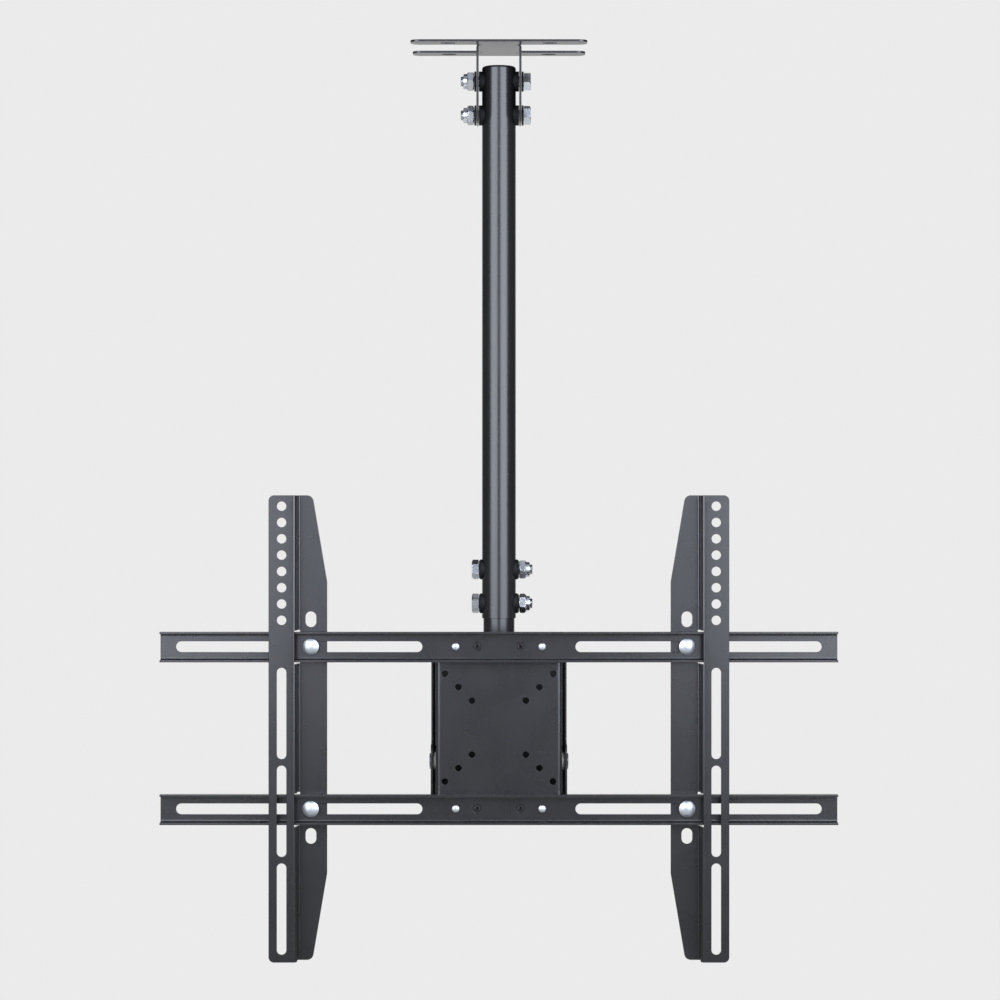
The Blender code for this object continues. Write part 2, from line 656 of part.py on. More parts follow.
def make_swivel(body, zinc, nylon):
    """The bolt hangs in the inner tube's foot and carries the bracket on a flange nut."""
    seat = FOOT_TOP + SEAT_GAP
    nut_seat = BRACKET_UNDER - SEAT_GAP
    length = seat - nut_seat + M10_NUT + THREAD_BEYOND_NUT
    bolt = make_object("swivel_bolt", hex_bolt_mesh(M10_FLATS, M10_HEAD, M10, length), PARTS)
    place(bolt, body, (0, 0, seat), zinc)
    nut = make_object("swivel_nut", nut_mesh(M10_FLATS, M10_NUT, M10, M10_FLANGE), PARTS)
    place(nut, body, (0, 0, nut_seat), zinc, (math.pi, 0, 0))
    ring = washer_mesh(FOOT_DIAMETER, M10 + 2 * BOLT_CLEARANCE, SWIVEL_WASHER_THICKNESS, TUBE_STEPS)
    washer = make_object("swivel_washer", ring, PARTS)
    place(washer, body, (0, 0, SWIVEL_WASHER_TOP - SWIVEL_WASHER_THICKNESS), nylon)


def make_bracket(body, coat):
    """A box of sheet, open to the front and below, trimmed to its side view."""
    outer = BRACKET_SIDE
    inner = outer - BRACKET_SHEET
    back = BRACKET_BACK
    front = PIVOT_Y - LOBE_AHEAD_OF_PIVOT
    wrap = BEND_INSIDE + BRACKET_SHEET
    far = front - TRIM_MARGIN
    shell = [(-outer, far, 0), (outer, far, 0), (outer, back, wrap), (-outer, back, wrap)]
    room = [(-inner, far - TRIM_MARGIN, 0), (inner, far - TRIM_MARGIN, 0)]
    room += [(inner, back - BRACKET_SHEET, BEND_INSIDE), (-inner, back - BRACKET_SHEET, BEND_INSIDE)]
    low = BRACKET_BOTTOM - TRIM_MARGIN
    bracket = slab("swivel_bracket", "Z", low, BRACKET_TOP + TRIM_MARGIN, [rounded_outline(shell)])
    inside = slab("bracket_inside", "Z", low - TRIM_MARGIN, BRACKET_UNDER, [rounded_outline(room)], CUTTERS)
    combine(bracket, "DIFFERENCE", inside)

    lobe_top = PIVOT_Z + LOBE_ABOVE_PIVOT
    side_view = [
        (-BRACKET_TOP_FRONT, BRACKET_TOP, 0),
        (-BRACKET_TOP_FRONT, lobe_top, LOBE_CORNER / 2),
        (front, lobe_top, LOBE_CORNER),
        (front, BRACKET_BOTTOM, LOBE_CORNER),
        (PIVOT_Y + LOBE_AHEAD_OF_PIVOT, BRACKET_BOTTOM, LOBE_CORNER),
        (back, BRACKET_BOTTOM + BRACKET_HEEL_RISE, BRACKET_CORNER),
        (back, BRACKET_TOP, wrap),
    ]
    pivot = circle_outline((PIVOT_Y, PIVOT_Z), M8 + 2 * BOLT_CLEARANCE)
    below = -math.pi / 2
    limits = (below - TILT_UP - TILT_SPARE, below + TILT_DOWN + TILT_SPARE)
    lock = arc_slot_outline((PIVOT_Y, PIVOT_Z), LOCK_RADIUS, *limits, M6 + 2 * BOLT_CLEARANCE)
    reach = outer + TRIM_MARGIN
    trim = slab("bracket_trim", "X", -reach, reach, [rounded_outline(side_view), pivot, lock], CUTTERS)
    combine(bracket, "INTERSECT", trim)

    for side in SIDES.values():
        ends = sorted((side * (inner - CORNER_RELIEF), side * inner))
        corner = (ends[0], -BRACKET_TOP_FRONT - TRIM_MARGIN, BRACKET_UNDER - CORNER_RELIEF)
        opposite = (ends[1], back - wrap, BRACKET_TOP + TRIM_MARGIN)
        combine(bracket, "DIFFERENCE", block("corner_relief", corner, opposite, CUTTERS))
    hole = circle_outline((0, 0), M10 + 2 * BOLT_CLEARANCE)
    bore = slab("swivel_hole", "Z", BRACKET_UNDER - BRACKET_SHEET, BRACKET_TOP + BRACKET_SHEET, [hole], CUTTERS)
    combine(bracket, "DIFFERENCE", bore)
    place(bracket, body, (0, 0, 0), coat)


def make_head_plate(body, coat):
    """A channel open to the back. Its sides are low above and carry the tilt ears below."""
    middle = HEAD_WIDTH / 2 - HEAD_SHEET / 2
    face = HEAD_FACE + HEAD_SHEET / 2
    back = HEAD_FACE + HEAD_EAR_DEPTH
    path = [(-middle, back + TRIM_MARGIN), (-middle, face), (middle, face), (middle, back + TRIM_MARGIN)]
    ends = (HEAD_BOTTOM - TRIM_MARGIN, HEAD_TOP + TRIM_MARGIN)
    plate = slab("head_plate", "Z", *ends, [sheet_outline(path, HEAD_SHEET)])

    edge = HEAD_FACE + HEAD_EDGE_DEPTH
    relief_top = PIVOT_Z + HEAD_RELIEF_ABOVE_PIVOT + HEAD_RELIEF
    relief_low = PIVOT_Z + HEAD_RELIEF_ABOVE_PIVOT
    front = HEAD_FACE - TRIM_MARGIN
    small = HEAD_EAR_CORNER / 2
    side_view = [
        (front, HEAD_TOP, 0),
        (edge, HEAD_TOP, small),
        (edge, relief_top, small),
        (HEAD_BACK, relief_top, 0),
        (HEAD_BACK, relief_low, 0),
        (back, relief_low, HEAD_EAR_CORNER),
        (back, HEAD_BOTTOM, HEAD_EAR_CORNER),
        (front, HEAD_BOTTOM, 0),
    ]
    pivot = circle_outline((PIVOT_Y, PIVOT_Z), M8 + 2 * BOLT_CLEARANCE)
    lock = circle_outline((PIVOT_Y, LOCK_Z), M6 + 2 * BOLT_CLEARANCE)
    reach = EAR_FACE + TRIM_MARGIN
    trim = slab("head_trim", "X", -reach, reach, [rounded_outline(side_view), pivot, lock], CUTTERS)
    combine(plate, "INTERSECT", trim)

    wide = EAR_FACE + TRIM_MARGIN
    sheet = [(-wide, HEAD_BOTTOM - TRIM_MARGIN), (wide, HEAD_BOTTOM - TRIM_MARGIN)]
    sheet += [(wide, HEAD_TOP + TRIM_MARGIN), (-wide, HEAD_TOP + TRIM_MARGIN)]
    holes = []
    for x in (-1, 1):
        for z in (-1, 1):
            for spacing in SCREEN_PATTERNS:
                centre = (x * spacing / 2, HEAD_CENTRE + z * spacing / 2)
                holes.append(circle_outline(centre, SCREEN_HOLE))
            centre = (x * RAIL_SCREW_SPACING / 2, HEAD_CENTRE + z * RAIL_PITCH / 2)
            holes.append(circle_outline(centre, M4 + BOLT_CLEARANCE))
    punch = slab("head_punch", "Y", front, back + 2 * TRIM_MARGIN, [sheet, *holes], CUTTERS)
    combine(plate, "INTERSECT", punch)
    place(plate, body, (0, 0, 0), coat)


def make_tilt_hardware(swivel_body, head_body, zinc, nylon):
    """Low-headed pivots on the bracket, and lock bolts that travel with the head in curved slots."""
    quarter = math.pi / 2
    outside = BRACKET_SIDE + SEAT_GAP
    inside = EAR_FACE - HEAD_SHEET - SEAT_GAP
    pivot_length = outside - inside + M8_NUT + THREAD_BEYOND_NUT
    lock_length = outside - inside + M6_NUT + THREAD_BEYOND_NUT
    pivot = round_head_mesh(PIVOT_HEAD_DIAMETER, PIVOT_HEAD_HEIGHT, M8, pivot_length)
    lock = hex_bolt_mesh(M6_FLATS, M6_HEAD, M6, lock_length, M6_FLANGE)
    rows = {
        "pivot": (pivot, nut_mesh(M8_FLATS, M8_NUT, M8), M8, PIVOT_SPACER_DIAMETER, PIVOT_Z, swivel_body),
        "lock": (lock, nut_mesh(M6_FLATS, M6_NUT, M6, M6_FLANGE), M6, LOCK_SPACER_DIAMETER, LOCK_Z, head_body),
    }
    for row, (bolt, nut, thread, spacer_diameter, z, body) in rows.items():
        spacer = washer_mesh(spacer_diameter, thread + 2 * BOLT_CLEARANCE, SPACER_THICKNESS)
        for name, side in SIDES.items():
            out = (0, side * quarter, 0)
            into = (0, -side * quarter, 0)
            piece = make_object(f"{row}_bolt_{name}", bolt, PARTS)
            place(piece, body, (side * outside, PIVOT_Y, z), zinc, out)
            piece = make_object(f"{row}_nut_{name}", nut, PARTS)
            place(piece, body, (side * inside, PIVOT_Y, z), zinc, into)
            piece = make_object(f"{row}_spacer_{name}", spacer, PARTS)
            place(piece, body, (side * (EAR_FACE + SEAT_GAP), PIVOT_Y, z), nylon, out)


def make_rail(body, coat, name, height):
    """A channel open to the front, with two long slots on each side of its middle."""
    middle = RAIL_HEIGHT / 2 - RAIL_SHEET / 2
    web = RAIL_BACK - RAIL_SHEET / 2
    front = RAIL_BACK - RAIL_DEPTH
    path = [(front, middle), (web, middle), (web, -middle), (front, -middle)]
    long = RAIL_LENGTH / 2
    section = sheet_outline(path, RAIL_SHEET)
    rail = slab(f"{name}_rail", "X", -long - TRIM_MARGIN, long + TRIM_MARGIN, [section])
    tall = RAIL_HEIGHT / 2 + TRIM_MARGIN
    sheet = [(-long, -tall), (long, -tall), (long, tall), (-long, tall)]
    holes = []
    for side in SIDES.values():
        for i in range(2):
            start = RAIL_SLOT_START + i * (RAIL_SLOT_LENGTH + RAIL_SLOT_BRIDGE)
            centre = (side * (start + RAIL_SLOT_LENGTH / 2), 0)
            holes.append(slot_outline(centre, RAIL_SLOT_LENGTH, RAIL_SLOT_WIDTH))
        holes.append(circle_outline((side * RAIL_SCREW_SPACING / 2, 0), M4 + 2 * BOLT_CLEARANCE))
        holes.append(circle_outline((side * SPARE_HOLE_SPACING / 2, 0), SPARE_HOLE))
    punch = slab(f"{name}_punch", "Y", front - TRIM_MARGIN, RAIL_BACK + TRIM_MARGIN, [sheet, *holes], CUTTERS)
    combine(rail, "INTERSECT", punch)
    place(rail, body, (0, 0, height), coat)


def make_rail_screws(body, zinc):
    """Pan head screws through the rails into the threaded holes of the head plate."""
    seat = RAIL_WEB_FRONT - SEAT_GAP
    length = HEAD_BACK + SCREW_BEHIND_PLATE - seat
    screw = round_head_mesh(SCREW_HEAD_DIAMETER, SCREW_HEAD_HEIGHT, M4, length)
    for level, z in RAIL_CENTRES.items():
        for name, side in SIDES.items():
            piece = make_object(f"rail_screw_{level}_{name}", screw, PARTS)
            place(piece, body, (side * RAIL_SCREW_SPACING / 2, seat, z), zinc, (math.pi / 2, 0, 0))


def arm_outline(side):
    """The arm seen from the front about its hole column: face outwards, tapered wing inwards."""
    half = ARM_LENGTH / 2
    out = ARM_FACE_OUT
    wing = -ARM_WING_IN
    tip = wing + ARM_TAPER_INSET
    corners = [
        (out, -half, ARM_FACE_CORNER),
        (out, half, ARM_FACE_CORNER),
        (tip, half, ARM_WING_CORNER),
        (wing, half - ARM_TAPER_LENGTH, ARM_WING_CORNER),
        (wing, -half + ARM_TAPER_LENGTH, ARM_WING_CORNER),
        (tip, -half, ARM_WING_CORNER),
    ]
    return rounded_outline([(side * u, v, r) for u, v, r in corners])


def arm_holes(side):
    """Round holes above, long slots below, and the bolt and oval holes of the wing."""
    top = ARM_LENGTH / 2
    holes = []
    for i in range(ARM_HOLE_COUNT):
        holes.append(circle_outline((0, top - ARM_FIRST_HOLE - i * ARM_HOLE_PITCH), ARM_HOLE))
    for i in range(ARM_SLOT_COUNT):
        centre = top - ARM_SLOT_START - i * ARM_SLOT_PITCH - ARM_SLOT_LENGTH / 2
        holes.append(slot_outline((0, centre), ARM_SLOT_LENGTH, ARM_HOLE, turned=True))
    for z in (-1, 1):
        bolt = z * RAIL_PITCH / 2
        oval = z * (RAIL_PITCH / 2 + OVAL_BEYOND_RAIL)
        holes.append(square_outline((-side * ARM_BOLT_IN, bolt), NECK_SIDE + 2 * BOLT_CLEARANCE))
        holes.append(slot_outline((-side * ARM_BOLT_IN, oval), OVAL_HEIGHT, OVAL_WIDTH, turned=True))
    return holes


def make_arm(body, coat, name, side):
    """A Z-shaped sheet: face in front of the rails, wing behind them, its web notched round them."""
    depth = ARM_DEPTH
    half = ARM_SHEET / 2
    web = -ARM_WEB_IN + half
    ends = (ARM_FACE_OUT + TRIM_MARGIN, -ARM_WING_IN - TRIM_MARGIN)
    path = [(ends[0], half), (web, half), (web, depth - half), (ends[1], depth - half)]
    section = sheet_outline([(side * u, v) for u, v in path], ARM_SHEET)
    reach = ARM_LENGTH / 2 + TRIM_MARGIN
    arm = slab(f"{name}_arm", "Z", -reach, reach, [section])
    outlines = [arm_outline(side), *arm_holes(side)]
    punch = slab(f"{name}_punch", "Y", -TRIM_MARGIN, depth + TRIM_MARGIN, outlines, CUTTERS)
    combine(arm, "INTERSECT", punch)
    tall = RAIL_HEIGHT / 2 + NOTCH_CLEARANCE
    wing_flat = -ARM_WEB_IN - BEND_INSIDE
    face_flat = -ARM_WEB_IN + ARM_SHEET + BEND_INSIDE - NOTCH_INTO_BEND
    for z in (-RAIL_PITCH / 2, RAIL_PITCH / 2):
        low, high = sorted((side * wing_flat, side * face_flat))
        corner = (low, -TRIM_MARGIN, z - tall)
        combine(arm, "DIFFERENCE", block("notch", corner, (high, depth + TRIM_MARGIN, z + tall), CUTTERS))
    place(arm, body, (side * ARM_COLUMN, ARM_FACE, HEAD_CENTRE), coat)


def make_carriage_bolts(body, zinc, name, side, bolt, nut):
    x = side * (ARM_COLUMN - ARM_BOLT_IN)
    for level, z in RAIL_CENTRES.items():
        piece = make_object(f"{name}_carriage_bolt_{level}", bolt, PARTS)
        place(piece, body, (x, RAIL_WEB_FRONT - SEAT_GAP, z), zinc, (math.pi / 2, 0, 0))
        piece = make_object(f"{name}_carriage_nut_{level}", nut, PARTS)
        place(piece, body, (x, WING_BACK + SEAT_GAP, z), zinc, (-math.pi / 2, 0, 0))


def main():
    coat = finish("black_powder_coat", (0.075, 0.08, 0.088), 0.45, 0.0)
    zinc = finish("bright_zinc", (0.72, 0.73, 0.74), 0.28, 1.0)
    plastic = finish("black_plastic", (0.02, 0.02, 0.022), 0.5, 0.0)
    nylon = finish("natural_nylon", (0.78, 0.77, 0.72), 0.5, 0.0)

    hanger = axis_empty("hanger_body", (0, 0, 0))
    swivel = axis_empty("swivel_axis", (0, 0, BRACKET_TOP), hanger)
    head = axis_empty("tilt_axis", (0, PIVOT_Y, PIVOT_Z), swivel)

    make_ceiling_plate(hanger, coat)
    make_pole(hanger, coat)
    make_inner_tube(hanger, coat)
    make_pole_bolts(hanger, zinc, plastic)
    make_swivel(hanger, zinc, nylon)
    make_bracket(swivel, coat)
    make_head_plate(head, coat)
    make_tilt_hardware(swivel, head, zinc, nylon)
    for level, z in RAIL_CENTRES.items():
        make_rail(head, coat, level, z)
    make_rail_screws(head, zinc)

    seat = RAIL_WEB_FRONT - SEAT_GAP
    bolt = carriage_bolt_mesh(WING_BACK + SEAT_GAP + M6_NUT + THREAD_BEYOND_NUT - seat)
    nut = nut_mesh(M6_FLATS, M6_NUT, M6, M6_FLANGE)
    for name, side in SIDES.items():
        slide = axis_empty(f"{name}_arm_slide", (side * ARM_COLUMN, ARM_FACE, HEAD_CENTRE), head)
        make_arm(slide, coat, name, side)
        make_carriage_bolts(slide, zinc, name, side, bolt, nut)


for old in list(bpy.data.objects):
    bpy.data.objects.remove(old)
PLACES = {}
PARTS = make_collection("tv_ceiling_mount")
CUTTERS = make_collection("cutters")
main()
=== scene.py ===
import math

import bmesh
import bpy
from mathutils import Matrix, Vector
from mathutils.geometry import tessellate_polygon


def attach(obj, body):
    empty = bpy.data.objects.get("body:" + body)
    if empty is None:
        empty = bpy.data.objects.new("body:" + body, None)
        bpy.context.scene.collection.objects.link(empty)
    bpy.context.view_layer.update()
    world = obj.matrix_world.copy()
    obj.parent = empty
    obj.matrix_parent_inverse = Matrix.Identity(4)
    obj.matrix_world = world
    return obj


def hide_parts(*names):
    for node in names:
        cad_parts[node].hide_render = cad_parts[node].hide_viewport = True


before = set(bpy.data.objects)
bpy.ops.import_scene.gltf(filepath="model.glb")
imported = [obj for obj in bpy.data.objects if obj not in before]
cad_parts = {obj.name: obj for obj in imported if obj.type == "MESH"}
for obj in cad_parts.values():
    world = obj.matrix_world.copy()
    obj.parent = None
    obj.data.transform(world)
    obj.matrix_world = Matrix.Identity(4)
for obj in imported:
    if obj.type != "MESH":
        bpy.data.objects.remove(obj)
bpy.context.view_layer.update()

# Camera: about three metres from the mount, square on and level with the middle of its height, behind
# a long lens. The ceiling plate is seen from a little below, and both of its strips show.
camera = bpy.data.objects.new("camera", bpy.data.cameras.new("camera"))
bpy.context.scene.collection.objects.link(camera)
bpy.context.scene.camera = camera
camera.location = (0.001, -3.060, -0.4284)
camera.rotation_euler = (math.pi / 2, 0, 0)
camera.data.sensor_width = 36
camera.data.lens = 116.57
bpy.context.scene.view_settings.view_transform = "Standard"

# Ceiling plate: one 2 mm steel sheet, an H seen from above. Its two ears are bent down to hold the pole.
# It is laser cut, folded on a press brake, then powder coated black.
MM = 0.001
SHEET = 2.0 * MM
BEND_INSIDE = 2.0 * MM
EDGE_ROUND = 0.3 * MM
BEND_STEPS = 8
ROUND_STEPS = 2


def linear(code):
    """An sRGB hex colour as linear light."""
    shares = [int(code[i : i + 2], 16) / 255 for i in (1, 3, 5)]
    return (*[s / 12.92 if s <= 0.04045 else ((s + 0.055) / 1.055) ** 2.4 for s in shares], 1)


def add_node(tree, kind, inputs=None, **settings):
    """Adds a node. An input is a value, or the output socket of another node."""
    node = tree.nodes.new(kind)
    for name, value in settings.items():
        setattr(node, name, value)
    for key, value in (inputs or {}).items():
        if isinstance(value, bpy.types.NodeSocket):
            tree.links.new(value, node.inputs[key])
        else:
            node.inputs[key].default_value = value
    return node


def arc(centre, radius, start, end, step=math.radians(7.5)):
    """Points along a round from angle start to angle end, both ends kept."""
    steps = max(1, round(abs(end - start) / step))
    turns = [start + (end - start) * i / steps for i in range(steps + 1)]
    return [(centre[0] + radius * math.cos(a), centre[1] + radius * math.sin(a)) for a in turns]


def circle(centre, diameter):
    return arc(centre, diameter / 2, 0, 2 * math.pi)[:-1]


def slot(centre, length, width, turned=False):
    """A hole with round ends, along the first axis, or along the second one if turned."""
    reach = (length - width) / 2
    points = arc((reach, 0), width / 2, -math.pi / 2, math.pi / 2)
    points += arc((-reach, 0), width / 2, math.pi / 2, 3 * math.pi / 2)
    return [(centre[0] - v, centre[1] + u) if turned else (centre[0] + u, centre[1] + v) for u, v in points]


def rounded(corners):
    """A closed outline through corners (u, v, radius)."""
    points = []
    for i, (u, v, radius) in enumerate(corners):
        corner = Vector((u, v))
        back = (Vector(corners[i - 1][:2]) - corner).normalized()
        ahead = (Vector(corners[(i + 1) % len(corners)][:2]) - corner).normalized()
        half = back.angle(ahead) / 2
        centre = corner + (back + ahead).normalized() * radius / math.sin(half)
        begin = corner + back * radius / math.tan(half) - centre
        finish = corner + ahead * radius / math.tan(half) - centre
        start = math.atan2(begin.y, begin.x)
        points += arc(centre, radius, start, start + math.atan2(begin.cross(finish), begin.dot(finish)))
    return points


def cut_sheet(outline, holes, thickness=SHEET):
    """A flat closed sheet about height 0 whose cut edges are rounded, as the coat leaves them."""
    edit = bmesh.new()
    fronts, backs = [], []
    for number, loop in enumerate([outline, *holes]):
        loop = [Vector(point) for point in loop]
        area = sum(a.cross(b) for a, b in zip(loop, loop[1:] + loop[:1]))
        if (area < 0) != (number > 0):
            loop.reverse()
        shifts = []
        for i, point in enumerate(loop):
            before = (point - loop[i - 1]).normalized()
            after = (loop[(i + 1) % len(loop)] - point).normalized()
            along = (before + after).normalized()
            shifts.append(Vector((-along.y, along.x)) / along.dot(after))
        rings = []
        for side in (1, -1):
            for i in range(ROUND_STEPS + 1):
                turn = math.pi / 2 * (i if side > 0 else ROUND_STEPS - i) / ROUND_STEPS
                inset = EDGE_ROUND * (1 - math.sin(turn))
                height = side * (thickness / 2 - EDGE_ROUND * (1 - math.cos(turn)))
                rings.append([edit.verts.new((*(p + s * inset), height)) for p, s in zip(loop, shifts)])
        for low, high in zip(rings, rings[1:]):
            for i in range(len(loop)):
                edit.faces.new((low[i - 1], low[i], high[i], high[i - 1]))
        for ring in (rings[0], rings[-1]):
            for i, vert in enumerate(ring):
                edit.edges.get((ring[i - 1], vert)).smooth = False
        fronts.append(rings[0])
        backs.append(rings[-1])
    for rings in (fronts, backs):
        flat = [vert for ring in rings for vert in ring]
        for triangle in tessellate_polygon([[vert.co for vert in ring] for ring in rings]):
            edit.faces.new([flat[i] for i in triangle])
    return edit


def fold(edit, path, begin, bends=lambda point: True, flat=1):
    """Bends a flat sheet across X so that its middle follows a path of (x, z) corners from X = begin.

    What doesn't bend stays in the plane of the path's stretch number flat.
    """
    middle = BEND_INSIDE + SHEET / 2
    corners = [Vector(point) for point in path]
    ways = [(b - a).normalized() for a, b in zip(corners, corners[1:])]
    marks = [begin]
    for a, b in zip(corners, corners[1:]):
        marks.append(marks[-1] + (b - a).length)
    turns = [math.atan2(a.cross(b), a.dot(b)) for a, b in zip(ways, ways[1:])]
    reaches = [middle * math.tan(abs(turn) / 2) for turn in turns]
    for mark, reach in zip(marks[1:], reaches):
        for i in range(BEND_STEPS + 1):
            line = (mark - reach + 2 * reach * i / BEND_STEPS, 0, 0)
            everything = [*edit.verts, *edit.edges, *edit.faces]
            bmesh.ops.bisect_plane(edit, geom=everything, dist=0.001 * MM, plane_co=line, plane_no=(1, 0, 0))
    for vert in edit.verts:
        x, y, offset = vert.co
        stretch, bend = flat, None
        if bends(vert.co):
            stretch = sum(x > mark for mark in marks[1:-1])
            bend = next((i for i, reach in enumerate(reaches) if abs(x - marks[i + 1]) < reach), None)
        if bend is None:
            left = Vector((-ways[stretch].y, ways[stretch].x))
            place = corners[stretch] + ways[stretch] * (x - marks[stretch]) + left * offset
        else:
            left = Vector((-ways[bend].y, ways[bend].x)) * math.copysign(1, turns[bend])
            centre = corners[bend + 1] - ways[bend] * reaches[bend] + left * middle
            share = (x - marks[bend + 1] + reaches[bend]) / (2 * reaches[bend])
            radius = middle - math.copysign(offset, turns[bend] * offset)
            place = centre + Matrix.Rotation(turns[bend] * share, 2) @ (-left * radius)
        vert.co = (place.x, y, place.y)


def placed(mesh, name, body, slot_name, *nodes):
    """A finished mesh as a piece, shaded so that its large faces stay flat beside small round edges."""
    piece = bpy.data.objects.new(name, mesh)
    bpy.context.scene.collection.objects.link(piece)
    flatten = piece.modifiers.new("flat faces", "WEIGHTED_NORMAL")
    flatten.weight = 50
    flatten.keep_sharp = True
    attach(piece, body)
    if nodes:
        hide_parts(*nodes)
    return piece


def folded_piece(edit, name, matrix, material, body, slot_name, *nodes):
    """A folded sheet, moved to its place in the object."""
    bmesh.ops.transform(edit, matrix=matrix, verts=edit.verts)
    bmesh.ops.recalc_face_normals(edit, faces=edit.faces)
    mesh = bpy.data.meshes.new(name)
    edit.to_mesh(mesh)
    edit.free()
    mesh.shade_smooth()
    mesh.materials.append(material)
    return placed(mesh, name, body, slot_name, *nodes)


# Polyester powder coat, satin black, baked on. It flows into a faint orange peel about 2 mm across, over
# a grain of about 0.3 mm, drawn at 0.5 mm here so that it shows. Tone and gloss drift a little, in soft
# clouds some 35 mm across.
powder_coat = bpy.data.materials.new("satin_black_powder_coat")
powder_coat.use_nodes = True
tree = powder_coat.node_tree
surface = tree.nodes["Principled BSDF"]
surface.inputs["IOR"].default_value = 1.55
surface.inputs["Coat Weight"].default_value = 0.6
surface.inputs["Coat Roughness"].default_value = 0.24
where = add_node(tree, "ShaderNodeTexCoord").outputs["Object"]
peel = add_node(tree, "ShaderNodeTexNoise", {"Vector": where, "Scale": 1 / (2.0 * MM), "Detail": 2.0})
grain = add_node(tree, "ShaderNodeTexNoise", {"Vector": where, "Scale": 1 / (0.5 * MM), "Detail": 3.0})
cloud = add_node(tree, "ShaderNodeTexNoise", {"Vector": where, "Scale": 1 / (35.0 * MM), "Detail": 2.0})
tone = add_node(tree, "ShaderNodeMix", {"Factor": cloud.outputs["Fac"]}, data_type="RGBA")
tone.inputs["A"].default_value = linear("#1E1E1F")
tone.inputs["B"].default_value = linear("#242425")
tree.links.new(tone.outputs["Result"], surface.inputs["Base Color"])
gloss = add_node(tree, "ShaderNodeMapRange", {"Value": cloud.outputs["Fac"], "To Min": 0.24, "To Max": 0.32})
tree.links.new(gloss.outputs["Result"], surface.inputs["Roughness"])
ripple = {"Height": peel.outputs["Fac"], "Strength": 0.15, "Distance": 0.02 * MM}
first = add_node(tree, "ShaderNodeBump", ripple)
sand = {"Height": grain.outputs["Fac"], "Strength": 0.15, "Distance": 0.01 * MM, "Normal": first.outputs["Normal"]}
second = add_node(tree, "ShaderNodeBump", sand)
tree.links.new(second.outputs["Normal"], surface.inputs["Normal"])

plate_half = [
    (82.5, -50, 8), (82.5, -27, 8), (16.2, -27, 0.8), (16.2, -25, 0.8), (93.2, -25, 15),
    (93.2, 25, 15), (16.2, 25, 0.8), (16.2, 27, 0.8), (82.5, 27, 8), (82.5, 50, 8),
]
plate_outline = rounded([(side * u * MM, side * v * MM, r * MM) for side in (1, -1) for u, v, r in plate_half])
plate_holes = [slot((x * MM, y * MM), 13.5 * MM, 7 * MM) for x in (-47.5, 47.5) for y in (-38.5, 38.5)]
plate_holes += [circle((x * MM, 0), 10.6 * MM) for x in (-84.2, -52.2, 52.2, 84.2)]
plate_edit = cut_sheet(plate_outline, plate_holes)
ear_path = [(-20.2 * MM, -74 * MM), (-20.2 * MM, -1 * MM), (20.2 * MM, -1 * MM), (20.2 * MM, -74 * MM)]
fold(plate_edit, ear_path, -93.2 * MM, bends=lambda point: abs(point.y) < 26 * MM)
folded_piece(
    plate_edit, "folded_ceiling_plate", Matrix.Identity(4), powder_coat, "hanger", "black_powder_coat",
    "ceiling_plate",
)

# Drop pole and inner tube: drawn steel tubes of 32 and 29.4 mm. The pole's upper rim is rolled in, and the
# inner tube carries a welded foot disc. The tree that turns both makes the bolts, nuts and washers too.
tree = bpy.data.node_groups.new("turned_pieces", "GeometryNodeTree")
SOCKETS = {
    "Places": "NodeSocketGeometry",
    "Section": "NodeSocketObject",
    "Segments": "NodeSocketInt",
    "Sides": "NodeSocketInt",
    "Across flats": "NodeSocketFloat",
    "Flats from": "NodeSocketFloat",
    "Flats to": "NodeSocketFloat",
    "Thread pitch": "NodeSocketFloat",
    "Thread depth": "NodeSocketFloat",
    "Thread from": "NodeSocketFloat",
    "Thread to": "NodeSocketFloat",
    "Saddle radius": "NodeSocketFloat",
    "Recess": "NodeSocketObject",
    "Finish": "NodeSocketMaterial",
}
for socket_name, kind in SOCKETS.items():
    tree.interface.new_socket(name=socket_name, in_out="INPUT", socket_type=kind)
tree.interface.new_socket(name="Pieces", in_out="OUTPUT", socket_type="NodeSocketGeometry")
given = add_node(tree, "NodeGroupInput").outputs
SPINE = 1.0 * MM
section = add_node(tree, "GeometryNodeObjectInfo", {"Object": given["Section"]})
profile = add_node(tree, "GeometryNodeMeshToCurve", {"Mesh": section.outputs["Geometry"]})
ring = add_node(tree, "GeometryNodeCurvePrimitiveCircle", {"Resolution": given["Segments"], "Radius": SPINE})
upright = add_node(tree, "GeometryNodeSetCurveNormal", {"Curve": ring.outputs["Curve"]}, mode="Z_UP")
skin = add_node(
    tree,
    "GeometryNodeCurveToMesh",
    {"Curve": upright.outputs["Curve"], "Profile Curve": profile.outputs["Curve"]},
)
solid = add_node(tree, "GeometryNodeMergeByDistance", {"Geometry": skin.outputs["Mesh"], "Distance": 0.001 * MM})
shape = solid.outputs["Geometry"]
# Flats: between two heights the round skin is pressed in to a bar of equal sides
at = add_node(tree, "ShaderNodeSeparateXYZ", {"Vector": add_node(tree, "GeometryNodeInputPosition").outputs[0]})
x, y, z = at.outputs
turn = add_node(tree, "ShaderNodeMath", {0: y, 1: x}, operation="ARCTAN2").outputs[0]
flat = add_node(tree, "ShaderNodeCombineXYZ", {"X": x, "Y": y})
radius = add_node(tree, "ShaderNodeVectorMath", {0: flat.outputs[0]}, operation="LENGTH").outputs["Value"]
half = add_node(tree, "ShaderNodeMath", {0: math.pi, 1: given["Sides"]}, operation="DIVIDE").outputs[0]
back = add_node(tree, "ShaderNodeMath", {0: half, 1: -1.0}, operation="MULTIPLY").outputs[0]
from_flat = add_node(tree, "ShaderNodeMath", {0: turn, 1: half, 2: back}, operation="WRAP").outputs[0]
lean = add_node(tree, "ShaderNodeMath", {0: from_flat}, operation="COSINE").outputs[0]
reach = add_node(tree, "ShaderNodeMath", {0: given["Across flats"], 1: 0.5}, operation="MULTIPLY").outputs[0]
